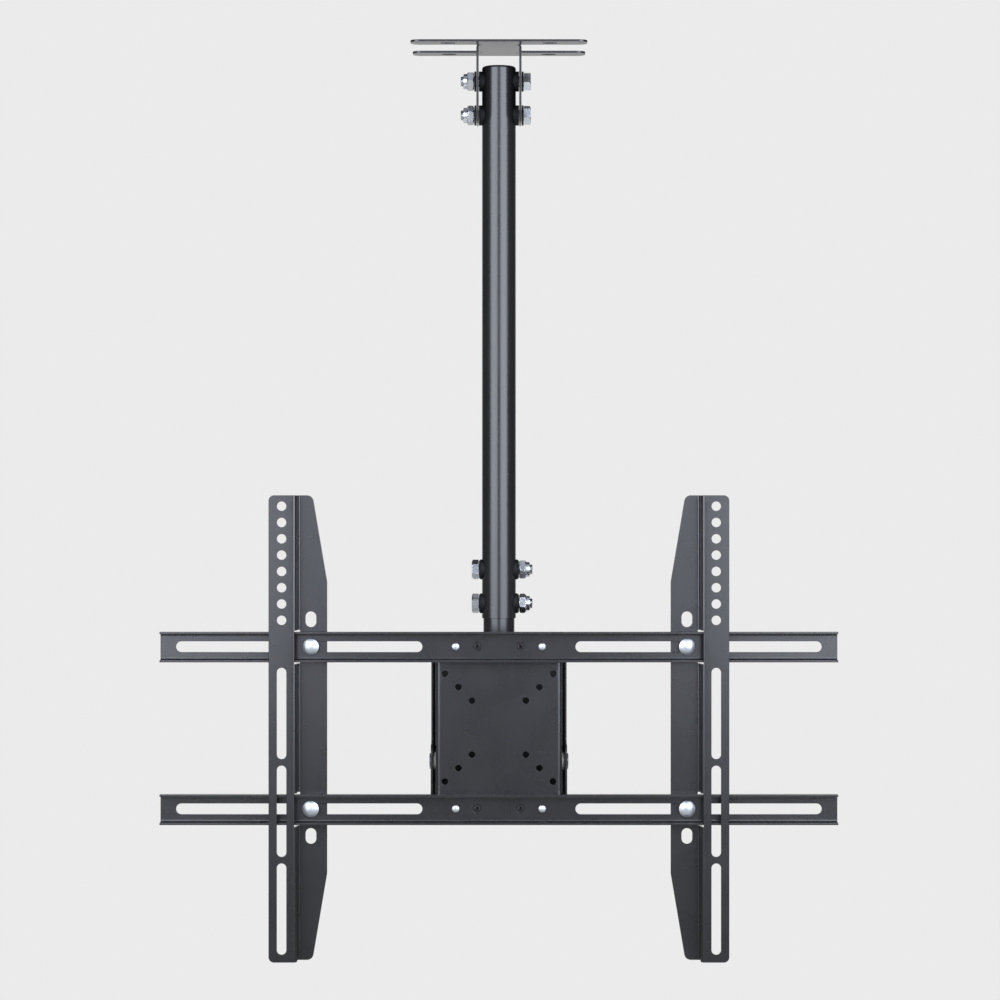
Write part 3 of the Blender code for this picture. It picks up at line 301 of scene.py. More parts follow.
limit = add_node(tree, "ShaderNodeMath", {0: reach, 1: lean}, operation="DIVIDE").outputs[0]
share = add_node(tree, "ShaderNodeMath", {0: limit, 1: radius}, operation="DIVIDE").outputs[0]
press = add_node(tree, "ShaderNodeMath", {0: share, 1: 1.0}, operation="MINIMUM").outputs[0]
above = add_node(tree, "FunctionNodeCompare", {"A": z, "B": given["Flats from"]}, operation="GREATER_EQUAL")
below = add_node(tree, "FunctionNodeCompare", {"A": z, "B": given["Flats to"]}, operation="LESS_EQUAL")
between = add_node(tree, "FunctionNodeBooleanMath", {0: above.outputs[0], 1: below.outputs[0]}, operation="AND")
scale = add_node(tree, "ShaderNodeCombineXYZ", {"X": press, "Y": press, "Z": 1.0})
spot = add_node(tree, "GeometryNodeInputPosition").outputs[0]
pressed = add_node(tree, "ShaderNodeVectorMath", {0: spot, 1: scale.outputs[0]}, operation="MULTIPLY")
flats = add_node(
    tree,
    "GeometryNodeSetPosition",
    {"Geometry": shape, "Selection": between.outputs[0], "Position": pressed.outputs[0]},
)
# Thread: between two heights the radius falls and rises along a helix
lead = add_node(tree, "ShaderNodeMath", {0: z, 1: given["Thread pitch"]}, operation="DIVIDE").outputs[0]
round_share = add_node(tree, "ShaderNodeMath", {0: turn, 1: 2 * math.pi}, operation="DIVIDE").outputs[0]
helix = add_node(tree, "ShaderNodeMath", {0: lead, 1: round_share}, operation="SUBTRACT").outputs[0]
wave = add_node(tree, "ShaderNodeMath", {0: helix, 1: 0.5}, operation="PINGPONG").outputs[0]
double = add_node(tree, "ShaderNodeMath", {0: given["Thread depth"], 1: 2.0}, operation="MULTIPLY").outputs[0]
cut = add_node(tree, "ShaderNodeMath", {0: wave, 1: double}, operation="MULTIPLY").outputs[0]
cut_share = add_node(tree, "ShaderNodeMath", {0: cut, 1: radius}, operation="DIVIDE").outputs[0]
narrow = add_node(tree, "ShaderNodeMath", {0: 1.0, 1: cut_share}, operation="SUBTRACT").outputs[0]
thread_above = add_node(tree, "FunctionNodeCompare", {"A": z, "B": given["Thread from"]}, operation="GREATER_THAN")
thread_below = add_node(tree, "FunctionNodeCompare", {"A": z, "B": given["Thread to"]}, operation="LESS_THAN")
along = add_node(
    tree, "FunctionNodeBooleanMath", {0: thread_above.outputs[0], 1: thread_below.outputs[0]}, operation="AND"
)
narrowing = add_node(tree, "ShaderNodeCombineXYZ", {"X": narrow, "Y": narrow, "Z": 1.0})
cut_spot = add_node(tree, "ShaderNodeVectorMath", {0: spot, 1: narrowing.outputs[0]}, operation="MULTIPLY")
thread = add_node(
    tree,
    "GeometryNodeSetPosition",
    {"Geometry": flats.outputs[0], "Selection": along.outputs[0], "Position": cut_spot.outputs[0]},
)
# Saddle: the foot is lifted onto a round bar that lies across it
bar = add_node(tree, "ShaderNodeMath", {0: given["Saddle radius"], 1: 2.0}, operation="POWER").outputs[0]
across = add_node(tree, "ShaderNodeMath", {0: y, 1: 2.0}, operation="POWER").outputs[0]
rest = add_node(tree, "ShaderNodeMath", {0: bar, 1: across}, operation="SUBTRACT").outputs[0]
crown = add_node(tree, "ShaderNodeMath", {0: rest}, operation="SQRT").outputs[0]
lifted = add_node(tree, "ShaderNodeMath", {0: z, 1: crown}, operation="MAXIMUM").outputs[0]
seated = add_node(tree, "ShaderNodeCombineXYZ", {"X": x, "Y": y, "Z": lifted})
hollow = add_node(tree, "FunctionNodeCompare", {"A": given["Saddle radius"], "B": 0.0}, operation="GREATER_THAN")
saddle = add_node(
    tree,
    "GeometryNodeSetPosition",
    {"Geometry": thread.outputs[0], "Selection": hollow.outputs[0], "Position": seated.outputs[0]},
)
# Recess: a driver's shape is cut from the head where one is given
driver = add_node(tree, "GeometryNodeObjectInfo", {"Object": given["Recess"]})
driven = add_node(tree, "GeometryNodeMeshBoolean", {"Mesh 1": saddle.outputs[0]}, operation="DIFFERENCE")
tree.links.new(driver.outputs["Geometry"], driven.inputs["Mesh 2"])
faces = add_node(
    tree, "GeometryNodeAttributeDomainSize", {"Geometry": driver.outputs["Geometry"]}, component="MESH"
)
has_driver = add_node(
    tree, "FunctionNodeCompare", {"A": faces.outputs["Face Count"], "B": 0.5}, operation="GREATER_THAN"
)
one = add_node(
    tree,
    "GeometryNodeSwitch",
    {"Switch": has_driver.outputs[0], "False": saddle.outputs[0], "True": driven.outputs["Mesh"]},
    input_type="GEOMETRY",
)
aim = add_node(tree, "GeometryNodeInputNamedAttribute", {"Name": "aim"}, data_type="FLOAT_VECTOR")
facing = add_node(tree, "FunctionNodeAlignRotationToVector", {"Vector": aim.outputs["Attribute"]}, axis="Z")
spin = add_node(tree, "GeometryNodeInputNamedAttribute", {"Name": "spin"}, data_type="FLOAT")
twist = add_node(tree, "FunctionNodeAxisAngleToRotation", {"Angle": spin.outputs["Attribute"]})
set_to = add_node(
    tree,
    "FunctionNodeRotateRotation",
    {"Rotation": facing.outputs[0], "Rotate By": twist.outputs[0]},
    rotation_space="LOCAL",
)
many = add_node(
    tree,
    "GeometryNodeInstanceOnPoints",
    {"Points": given["Places"], "Instance": one.outputs[0], "Rotation": set_to.outputs[0]},
)
real = add_node(tree, "GeometryNodeRealizeInstances", {"Geometry": many.outputs["Instances"]})
coated = add_node(
    tree, "GeometryNodeSetMaterial", {"Geometry": real.outputs["Geometry"], "Material": given["Finish"]}
)
add_node(tree, "NodeGroupOutput", {"Pieces": coated.outputs["Geometry"]})
turned_tree = tree
NOWHERE = 1000


def line_mesh(name, points, closed):
    """A helper object that holds a line of points."""
    count = len(points)
    edges = [(i, (i + 1) % count) for i in range(count if closed else count - 1)]
    mesh = bpy.data.meshes.new(name)
    mesh.from_pydata(points, edges, [])
    helper = bpy.data.objects.new(name, mesh)
    bpy.context.scene.collection.objects.link(helper)
    return helper


def turned_pieces(name, section, closed, places, material, body, slot_name, nodes, spins=(), **sizes):
    """One piece that holds a turned shape at each of its places, given as (point, aim).

    The section is (radius, height) in mm, from the top down its outer side. Spins are turns in degrees
    about the aims, as the spanner left them.
    """
    outline = line_mesh("section", [(r * MM - SPINE, -h * MM, 0) for r, h in section], closed)
    points = bpy.data.meshes.new(name)
    points.from_pydata([[c * MM for c in point] for point, _ in places], [], [])
    aims = [component for _, direction in places for component in direction]
    points.attributes.new("aim", "FLOAT_VECTOR", "POINT").data.foreach_set("vector", aims)
    turns = [math.radians(degrees) for degrees in spins or [0] * len(places)]
    points.attributes.new("spin", "FLOAT", "POINT").data.foreach_set("value", turns)
    seed = bpy.data.objects.new(name, points)
    bpy.context.scene.collection.objects.link(seed)
    maker = seed.modifiers.new("turned pieces", "NODES")
    maker.node_group = turned_tree
    values = {"Section": outline, "Segments": 72, "Sides": 6, "Finish": material}
    values["Flats from"] = values["Flats to"] = NOWHERE
    values["Thread from"] = values["Thread to"] = NOWHERE
    values["Thread pitch"] = 1.0
    values.update({key.replace("_", " "): value for key, value in sizes.items()})
    for item in turned_tree.interface.items_tree:
        if item.in_out == "INPUT" and item.name in values:
            value = values[item.name]
            millimetres = item.socket_type == "NodeSocketFloat"
            maker[item.identifier] = value * MM if millimetres else value
    bpy.context.view_layer.update()
    made = bpy.data.meshes.new_from_object(seed.evaluated_get(bpy.context.evaluated_depsgraph_get()))
    bpy.data.objects.remove(seed)
    bpy.data.objects.remove(outline)
    edit = bmesh.new()
    edit.from_mesh(made)
    bmesh.ops.recalc_face_normals(edit, faces=edit.faces)
    edit.to_mesh(made)
    edit.free()
    made.shade_smooth()
    made.set_sharp_from_angle(angle=math.radians(25))
    return placed(made, name, body, slot_name, *nodes)


def soft_edge(radius, height, low, out=1):
    """A quarter round of 0.3 mm at a rim: low is 1 for a lower rim and -1 for an upper one.

    Out is 1 on the outside of a tube and -1 in its bore.
    """
    turns = [math.radians(a) for a in (0, 30, 60, 90)]
    if low < 0:
        turns.reverse()
    size = 0.3
    return [(radius - out * size * (1 - math.cos(a)), height - low * size * (math.sin(a) - 1)) for a in turns]


UP = (0, 0, 1)
POLE_RADIUS, POLE_BORE = 16, 15
POLE_TOP, POLE_END = -19, -540
RIM_ROLL = 2.5
roll_radius, roll_height = POLE_RADIUS - RIM_ROLL, POLE_TOP - RIM_ROLL
rim_turns = [math.radians(12 * i + 18) for i in range(7)]
rolled_rim = [(roll_radius + RIM_ROLL * math.sin(a), roll_height + RIM_ROLL * math.cos(a)) for a in rim_turns]
pole_section = rolled_rim + soft_edge(POLE_RADIUS, POLE_END, 1) + soft_edge(POLE_BORE, POLE_END, 1, -1)[::-1]
pole_section += [(15, -21.5), (14.9, -20.9), (14.6, -20.4), (14.1, -19.9), (13.8, -19.4), (13.9, -19.2)]
turned_pieces(
    "drawn_drop_pole", pole_section, True, [((0, 0, 0), UP)], powder_coat, "hanger", "black_powder_coat",
    ["drop_pole"], Segments=128,
)
TUBE_RADIUS, TUBE_BORE, TUBE_TOP = 14.7, 13.2, -470
FOOT_RADIUS, FOOT_TOP, FOOT_UNDER = 22, -557, -560
WELD = 2.4
M10_BORE = 5.3
weld_turns = (0, 0.4, 0.8, 1.2, math.pi / 2)
tube_section = soft_edge(TUBE_RADIUS, TUBE_TOP, -1)
tube_section += [(TUBE_RADIUS + WELD * (1 - math.cos(a)), FOOT_TOP + WELD * (1 - math.sin(a))) for a in weld_turns]
tube_section += soft_edge(FOOT_RADIUS, FOOT_TOP, -1) + soft_edge(FOOT_RADIUS, FOOT_UNDER, 1)
tube_section += [(M10_BORE, FOOT_UNDER), (M10_BORE, FOOT_TOP), (TUBE_BORE, FOOT_TOP)]
tube_section += soft_edge(TUBE_BORE, TUBE_TOP, -1, -1)[::-1]
turned_pieces(
    "inner_tube_with_welded_foot", tube_section, True, [((0, 0, 0), UP)], powder_coat, "hanger",
    "black_powder_coat", ["inner_tube"], Segments=128,
)

# Pole bolts: M10 hexagon bolts of zinc plated steel with nylon insert lock nuts. The upper two clamp the
# ears on the pole, and the lower two hold the inner tube. Their threads are rolled.


def zinc_plate(name, smooth, rough, dent_size, dent_depth):
    """Zinc plate, a little bluish, with soft patches and dents. Roughness runs from smooth to rough."""
    finish = bpy.data.materials.new(name)
    finish.use_nodes = True
    tree = finish.node_tree
    surface = tree.nodes["Principled BSDF"]
    surface.inputs["Metallic"].default_value = 1.0
    where = add_node(tree, "ShaderNodeTexCoord").outputs["Object"]
    patch = add_node(tree, "ShaderNodeTexNoise", {"Vector": where, "Scale": 1 / (4.0 * MM), "Detail": 3.0})
    tone = add_node(tree, "ShaderNodeMix", {"Factor": patch.outputs["Fac"]}, data_type="RGBA")
    tone.inputs["A"].default_value = linear("#C6CBD2")
    tone.inputs["B"].default_value = linear("#DDDFE2")
    tree.links.new(tone.outputs["Result"], surface.inputs["Base Color"])
    blur = add_node(tree, "ShaderNodeMapRange", {"Value": patch.outputs["Fac"], "To Min": smooth, "To Max": rough})
    tree.links.new(blur.outputs["Result"], surface.inputs["Roughness"])
    pits = add_node(tree, "ShaderNodeTexNoise", {"Vector": where, "Scale": 1 / (dent_size * MM), "Detail": 2.0})
    dents = add_node(
        tree, "ShaderNodeBump", {"Height": pits.outputs["Fac"], "Strength": 0.3, "Distance": dent_depth * MM}
    )
    tree.links.new(dents.outputs["Normal"], surface.inputs["Normal"])
    return finish


# Polished parts for the pole bolts, and small parts tumbled in the barrel, which come out duller
zinc = zinc_plate("bright_zinc_plate", 0.18, 0.30, 0.6, 0.02)
tumbled_zinc = zinc_plate("tumbled_zinc_plate", 0.36, 0.48, 5.0, 0.5)

M10, M10_PITCH, M10_FLATS, M10_HEAD, M10_NUT = 10, 1.5, 16, 6.4, 10
SEAT_TO_BOLT_END = 12.4
POLE_BOLT_HEIGHTS = {"upper": (-33, -65), "lower": (-494, -526)}
SEATS = {"upper": 23.6, "lower": 19.2}
HEAD_SIDES = {"upper": 1, "lower": -1}


def hexagon_corner(flats):
    """The radius of a bar that a hexagon is pressed from, a little past the hexagon's corners."""
    return flats / math.sqrt(3) * 1.02


def chamfer_rows(flats, top, rows=8, steep=0.6):
    """The turned corner of a hexagon from its top face outwards, in rows so that the flats cut it in arcs."""
    inner, outer = flats / 2 * 0.94, hexagon_corner(flats)
    return [
        (inner + (outer - inner) * i / rows, top - (outer - inner) * steep * i / rows) for i in range(rows + 1)
    ]


def shank_rows(diameter, pitch, seat, end, threaded):
    """The shank from its seat down to its end, with eight rows for each turn of the threaded length."""
    rows = [(diameter / 2, seat), (diameter / 2, end + threaded)]
    steps = int((threaded - 0.6) / pitch * 8)
    rows += [(diameter / 2, end + threaded - (threaded - 0.6) * i / steps) for i in range(1, steps + 1)]
    return rows + [(diameter / 2 - 0.6, end), (0, end)]


def hex_bolt_section(flats, head, diameter, pitch, length, threaded=4.2):
    """A hexagon bolt from the middle of its head down to its end."""
    top = [(0, head), *chamfer_rows(flats, head), (hexagon_corner(flats), 0)]
    return top + shank_rows(diameter, pitch, 0, -length, threaded)


def nut_section(flats, height, diameter, flange=0):
    """A nylon insert nut: hexagon, rolled-in collar, and a flange under it if given."""
    shoulder = height * 0.66
    collar = flats / 2 * 0.88
    bore = diameter / 2 + 0.3
    section = [(bore + 0.5, height - 0.5), (bore + 0.5, height - 0.15), (bore + 0.9, height)]
    section += [(collar - 0.8, height), (collar - 0.25, height - 0.25), (collar, height - 0.8)]
    section += [(collar, shoulder + 0.3), (collar + 0.1, shoulder)]
    section += [(r, h) for r, h in chamfer_rows(flats, shoulder, steep=0.9) if r > collar + 0.2]
    if flange:
        foot = flange / 2
        section += [(hexagon_corner(flats), 1.6), (foot - 0.6, 1.2), (foot - 0.1, 0.9), (foot, 0.6)]
        section += [(foot - 0.1, 0.1), (foot - 0.3, 0)]
    else:
        section += [(r, -h) for r, h in chamfer_rows(flats, 0)[::-1]]
    return section + [(bore, 0), (bore, height - 0.5)]


SPINS = {"upper": ((10, 22), (3, 17)), "lower": ((33, 26), (8, 20))}
for group, heights in POLE_BOLT_HEIGHTS.items():
    seat, side = SEATS[group], HEAD_SIDES[group]
    bolt_places = [((side * seat, 0, z), (side, 0, 0)) for z in heights]
    nut_places = [((-side * seat, 0, z), (-side, 0, 0)) for z in heights]
    length = 2 * seat + SEAT_TO_BOLT_END
    head_spins, nut_spins = SPINS[group]
    bolt_section = hex_bolt_section(M10_FLATS, M10_HEAD, M10, M10_PITCH, length)
    turned_pieces(
        f"{group}_hexagon_bolts", bolt_section, False, bolt_places, zinc, "hanger", "bright_zinc",
        [f"{group}_bolt_1", f"{group}_bolt_2"], head_spins, Across_flats=M10_FLATS, Flats_from=-0.01, Flats_to=7,
        Thread_pitch=M10_PITCH, Thread_depth=0.75, Thread_from=-length + 0.5, Thread_to=-length + 4.1,
    )
    turned_pieces(
        f"{group}_lock_nuts", nut_section(M10_FLATS, M10_NUT, M10), True, nut_places, zinc, "hanger", "bright_zinc",
        [f"{group}_nut_1", f"{group}_nut_2"], nut_spins, Across_flats=M10_FLATS, Flats_from=-0.01, Flats_to=6.62,
    )

# Saddles and washers: moulded black polyethylene. The saddles fill the gap between the flat ears and the
# round pole, and the same ones sit under the lower bolts. The washers keep the nuts off the ears' coat.
plastic = bpy.data.materials.new("moulded_black_polyethylene")
plastic.use_nodes = True
tree = plastic.node_tree
surface = tree.nodes["Principled BSDF"]
surface.inputs["IOR"].default_value = 1.5
surface.inputs["Specular IOR Level"].default_value = 0.3
where = add_node(tree, "ShaderNodeTexCoord").outputs["Object"]
skin_noise = add_node(tree, "ShaderNodeTexNoise", {"Vector": where, "Scale": 1 / (0.8 * MM), "Detail": 4.0})
tone = add_node(tree, "ShaderNodeMix", {"Factor": skin_noise.outputs["Fac"]}, data_type="RGBA")
tone.inputs["A"].default_value = linear("#0C0C0D")
tone.inputs["B"].default_value = linear("#131314")
tree.links.new(tone.outputs["Result"], surface.inputs["Base Color"])
sheen = add_node(tree, "ShaderNodeMapRange", {"Value": skin_noise.outputs["Fac"], "To Min": 0.60, "To Max": 0.75})
tree.links.new(sheen.outputs["Result"], surface.inputs["Roughness"])
spark = add_node(
    tree, "ShaderNodeBump", {"Height": skin_noise.outputs["Fac"], "Strength": 0.3, "Distance": 0.02 * MM}
)
tree.links.new(spark.outputs["Normal"], surface.inputs["Normal"])

PAD_RADIUS, SADDLE_TOP = 9.5, 18.9
foot_rows = [(PAD_RADIUS - 4.2 * i / 10, 8) for i in range(11)]
RIMS = {
    "upper": [(9.1, SADDLE_TOP), (9.4, 18.75), (PAD_RADIUS, 18.5)],
    "lower": [(7.9, SADDLE_TOP), (8.1, 18.85), (9.4, 17.4), (PAD_RADIUS, 17.1)],
}
for group, heights in POLE_BOLT_HEIGHTS.items():
    turned_pieces(
        f"{group}_moulded_saddles", [(M10_BORE, SADDLE_TOP), *RIMS[group], (PAD_RADIUS, 14), *foot_rows], True,
        [((0, 0, z), (side, 0, 0)) for z in heights for side in (-1, 1)], plastic, "hanger", "black_plastic",
        [f"{group}_saddle_{side}_{i}" for side in ("left", "right") for i in (1, 2)], Saddle_radius=16.3,
    )
washer_section = [(M10_BORE, 1.8), (9.1, 1.8), (9.4, 1.7), (PAD_RADIUS, 1.4)]
washer_section += [(PAD_RADIUS, 0.4), (9.4, 0.1), (9.1, 0), (M10_BORE, 0)]
washer_places = [((side * 21.5, 0, z), (side, 0, 0)) for z in POLE_BOLT_HEIGHTS["upper"] for side in (-1, 1)]
turned_pieces(
    "ear_washers", washer_section, True, washer_places, plastic, "hanger", "black_plastic",
    [f"ear_washer_{side}_{i}" for side in ("left", "right") for i in (1, 2)],
)

# Swivel: an M10 bolt hangs in the foot disc and carries the head on a flange nut, with a wide nylon washer
# between disc and bracket so that the head turns freely.
nylon = bpy.data.materials.new("natural_nylon")
nylon.use_nodes = True
tree = nylon.node_tree
surface = tree.nodes["Principled BSDF"]
surface.inputs["IOR"].default_value = 1.53
surface.inputs["Roughness"].default_value = 0.45
where = add_node(tree, "ShaderNodeTexCoord").outputs["Object"]
haze = add_node(tree, "ShaderNodeTexNoise", {"Vector": where, "Scale": 1 / (3.0 * MM), "Detail": 2.0})
tone = add_node(tree, "ShaderNodeMix", {"Factor": haze.outputs["Fac"]}, data_type="RGBA")
tone.inputs["A"].default_value = linear("#CFCBBE")
tone.inputs["B"].default_value = linear("#DEDBD0")
tree.links.new(tone.outputs["Result"], surface.inputs["Base Color"])

swivel_length = 20.7
swivel_section = hex_bolt_section(M10_FLATS, M10_HEAD, M10, M10_PITCH, swivel_length)
turned_pieces(
    "swivel_bolt_m10", swivel_section, False, [((0, 0, -556.7), UP)], zinc, "hanger", "bright_zinc",
    ["swivel_bolt"], Across_flats=M10_FLATS, Flats_from=-0.01, Flats_to=7,
    Thread_pitch=M10_PITCH, Thread_depth=0.75, Thread_from=-swivel_length + 0.5, Thread_to=-swivel_length + 4.1,
)
turned_pieces(
    "swivel_flange_nut", nut_section(M10_FLATS, M10_NUT, M10, 21.5), True, [((0, 0, -564.4), (0, 0, -1))], zinc,
    "hanger", "bright_zinc", ["swivel_nut"], Across_flats=M10_FLATS, Flats_from=1.5, Flats_to=6.61,
)
swivel_washer_section = [(M10_BORE, 1.5), (21.6, 1.5), (21.9, 1.4), (22, 1.1)]
swivel_washer_section += [(22, 0.4), (21.9, 0.1), (21.6, 0), (M10_BORE, 0)]
turned_pieces(
    "swivel_glide_washer", swivel_washer_section, True, [((0, 0, -561.8), UP)], nylon, "hanger", "natural_nylon",
    ["swivel_washer"], Segments=128,
)

# Swivel bracket: one 2 mm sheet, folded into a back wall, two side walls and a top that hangs on the swivel
# bolt. Each side wall has a lobe with the tilt pivot and a curved slot for the tilt lock.
TURN_Z_UP = Matrix(((1, 0, 0, 0), (0, 0, 1, 0), (0, 1, 0, 0), (0, 0, 0, 1)))
PIVOT_HEIGHT, LOCK_HEIGHT = -672.1, -712.1
PIVOT_HOLE, LOCK_HOLE = 8.6, 6.6


def curved_slot(centre, radius, start, end, width):
    """A hole with round ends along an arc."""
    ends = [(centre[0] + radius * math.cos(a), centre[1] + radius * math.sin(a)) for a in (start, end)]
    points = arc(centre, radius + width / 2, start, end, math.radians(2))
    points += arc(ends[1], width / 2, end, end + math.pi)[1:-1]
    points += arc(centre, radius - width / 2, end, start, math.radians(2))
    return points + arc(ends[0], width / 2, start + math.pi, start + 2 * math.pi)[1:-1]


bracket_half = [
    (66.0, -713, 4), (107.5, -724.1, 10), (131.5, -724.1, 10), (131.5, -656.1, 10), (105.5, -656.1, 5),
    (105.5, -562.1, 2), (66.5, -562.1, 2), (66.5, -567, 1), (59.2, -567, 0.5), (58.6, -565, 0.5), (58.6, -520.1, 5),
]
bracket_outline = [(u, v, r) for u, v, r in bracket_half] + [(-u, v, r) for u, v, r in bracket_half[::-1]]
below = -math.pi / 2
bracket_holes = [circle((0, -542.1 * MM), 10.6 * MM)]
for side in (-1, 1):
    pivot = (side * 119.5 * MM, PIVOT_HEIGHT * MM)
    limits = [below + side * math.radians(a) for a in (5.7, -15.7)]
    bracket_holes.append(circle(pivot, PIVOT_HOLE * MM))
    bracket_holes.append(curved_slot(pivot, 40 * MM, min(limits), max(limits), LOCK_HOLE * MM))
bracket_edit = cut_sheet(rounded([(u * MM, v * MM, r * MM) for u, v, r in bracket_outline]), bracket_holes)
height_first = Matrix.Rotation(-math.pi / 2, 4, "Z")
bmesh.ops.transform(bracket_edit, matrix=height_first, verts=bracket_edit.verts)
top_path = [(-730 * MM, 0), (-563.1 * MM, 0), (-563.1 * MM, -43 * MM)]
fold(bracket_edit, top_path, -730 * MM, bends=lambda point: abs(point.y) < 59 * MM, flat=0)
bmesh.ops.transform(bracket_edit, matrix=height_first.inverted(), verts=bracket_edit.verts)
side_path = [(-62.5 * MM, -48 * MM), (-62.5 * MM, 21 * MM), (62.5 * MM, 21 * MM), (62.5 * MM, -48 * MM)]
fold(bracket_edit, side_path, -131.5 * MM)
folded_piece(
    bracket_edit, "folded_swivel_bracket", TURN_Z_UP, powder_coat, "swivel", "black_powder_coat", "swivel_bracket"
)

# Head plate: one 2 mm sheet with the 50, 75 and 100 mm hole squares of small screens in its face. Its sides are
# folded back, low above and deep below, where they are the ears that the head tilts on.
RAIL_HEIGHTS = {"upper": -564.1, "lower": -714.1}
MIDDLE_HEIGHT = -639.1
FACE_DEPTH = -62
head_half = [
    (99.5, -726.6, 10), (99.5, -659.6, 10), (58.5, -659.6, 1), (58.5, -656.6, 1), (71.5, -656.6, 5),
    (71.5, -551.6, 5),
]
head_outline = head_half + [(-u, v, r) for u, v, r in head_half[::-1]]
head_holes = [
    circle((x * spacing / 2 * MM, (MIDDLE_HEIGHT + z * spacing / 2) * MM), 6 * MM)
    for x in (-1, 1) for z in (-1, 1) for spacing in (50, 75, 100)
]
head_holes += [circle((x * MM, z * MM), 4.3 * MM) for x in (-40, 40, -20, 20) for z in RAIL_HEIGHTS.values()]
head_holes += [circle((x * MM, PIVOT_HEIGHT * MM), PIVOT_HOLE * MM) for x in (-83.5, 83.5)]
head_holes += [circle((x * MM, LOCK_HEIGHT * MM), LOCK_HOLE * MM) for x in (-83.5, 83.5)]
head_edit = cut_sheet(rounded([(u * MM, v * MM, r * MM) for u, v, r in head_outline]), head_holes)
head_path = [(-57.5, -20), (-57.5, FACE_DEPTH), (57.5, FACE_DEPTH), (57.5, -20)]
fold(head_edit, [(u * MM, v * MM) for u, v in head_path], -99.5 * MM)
folded_piece(head_edit, "folded_head_plate", TURN_Z_UP, powder_coat, "head", "black_powder_coat", "head_plate")

# Tilt fittings: low-headed M8 pivots through bracket and ears, and M6 flange bolts that travel in the curved
# slots and lock the tilt. Nylon spacers keep the coated sheets apart.
M8, M8_PITCH, M8_FLATS, M8_NUT = 8, 1.25, 13, 8
M6, M6_PITCH, M6_FLATS, M6_NUT, M6_HEAD, M6_FLANGE = 6, 1.0, 10, 6, 4, 14
BOLT_SEAT, NUT_SEAT, SPACER_SEAT = 63.8, 56.2, 58.8


def tilt_places(out, height, way=1):
    """The same place on both sides of the head, aimed outwards, or inwards if way is -1."""
    return [((side * out, -36, height), (side * way, 0, 0)) for side in (-1, 1)]


pivot_section = [(0, 1.0), (6.6, 1.0), (7.2, 0.85), (7.5, 0.5), (7.4, 0.1), (7.2, 0)]
pivot_section += shank_rows(M8, M8_PITCH, 0, -18.6, 4.2)
turned_pieces(
    "tilt_pivots", pivot_section, False, tilt_places(BOLT_SEAT, PIVOT_HEIGHT), zinc, "swivel", "bright_zinc",
    ["pivot_bolt_left", "pivot_bolt_right"],
    Thread_pitch=M8_PITCH, Thread_depth=0.6, Thread_from=-18.1, Thread_to=-14.5,
)
turned_pieces(
    "tilt_pivot_nuts", nut_section(M8_FLATS, M8_NUT, M8), True, tilt_places(NUT_SEAT, PIVOT_HEIGHT, -1), zinc,
    "swivel", "bright_zinc", ["pivot_nut_left", "pivot_nut_right"],
    Across_flats=M8_FLATS, Flats_from=-0.01, Flats_to=5.30,
)
lock_section = [(0, M6_HEAD), *chamfer_rows(M6_FLATS, M6_HEAD), (hexagon_corner(M6_FLATS), 1.6)]
lock_section += [(6.4, 1.2), (6.9, 0.9), (7, 0.6), (6.9, 0.1), (6.7, 0)]
lock_section += shank_rows(M6, M6_PITCH, 0, -16.6, 4.2)
turned_pieces(
    "tilt_lock_bolts", lock_section, False, tilt_places(BOLT_SEAT, LOCK_HEIGHT), zinc, "head", "bright_zinc",
    ["lock_bolt_left", "lock_bolt_right"], Across_flats=M6_FLATS, Flats_from=1.5, Flats_to=5,
    Thread_pitch=M6_PITCH, Thread_depth=0.5, Thread_from=-16.1, Thread_to=-12.5,
)
m6_nut = nut_section(M6_FLATS, M6_NUT, M6, M6_FLANGE)
turned_pieces(
    "tilt_lock_nuts", m6_nut, True, tilt_places(NUT_SEAT, LOCK_HEIGHT, -1), zinc, "head", "bright_zinc",
    ["lock_nut_left", "lock_nut_right"], Across_flats=M6_FLATS, Flats_from=1.5, Flats_to=3.97,
)
SPACERS = (("pivot", 16, 4.3, PIVOT_HEIGHT, "swivel"), ("lock", 13, 3.3, LOCK_HEIGHT, "head"))
for row, diameter, bore, height, body in SPACERS:
    rim = diameter / 2
    ring = [(bore, 2.4), (rim - 0.4, 2.4), (rim - 0.1, 2.3), (rim, 2.0), (rim, 0.4), (rim - 0.1, 0.1), (rim - 0.4, 0)]
    turned_pieces(
        f"{row}_spacers", [*ring, (bore, 0)], True, tilt_places(SPACER_SEAT, height), nylon, body, "natural_nylon",
        [f"{row}_spacer_left", f"{row}_spacer_right"],
    )

# Cross rails: two 2 mm channels, 28 mm high, open to the front, each with four long slots for the arms' bolts.
# Small zinc pan head screws hold them on the head plate, beside two spare holes.
SQUARE = ((-1, -1), (1, -1), (1, 1), (-1, 1))
rail_outline = rounded([(24 * u * MM, 313 * v * MM, 0.8 * MM) for u, v in SQUARE])
rail_holes = [slot((0, x * MM), 108.6 * MM, 10 * MM, turned=True) for x in (-244.3, -125.1, 125.1, 244.3)]
rail_holes += [circle((0, x * MM), 4.6 * MM) for x in (-40, 40)]
rail_holes += [circle((0, x * MM), 8.0 * MM) for x in (-20, 20)]
rail_path = [(-13 * MM, -11 * MM), (-13 * MM, 0), (13 * MM, 0), (13 * MM, -11 * MM)]
for level, height in RAIL_HEIGHTS.items():
    rail_edit = cut_sheet(rail_outline, rail_holes)
    fold(rail_edit, rail_path, -24 * MM)
    stand = Matrix(((0, 1, 0, 0), (0, 0, 1, -64.3 * MM), (1, 0, 0, height * MM), (0, 0, 0, 1)))
    folded_piece(rail_edit, f"{level}_slotted_rail", stand, powder_coat, "head", "black_powder_coat", f"{level}_rail")

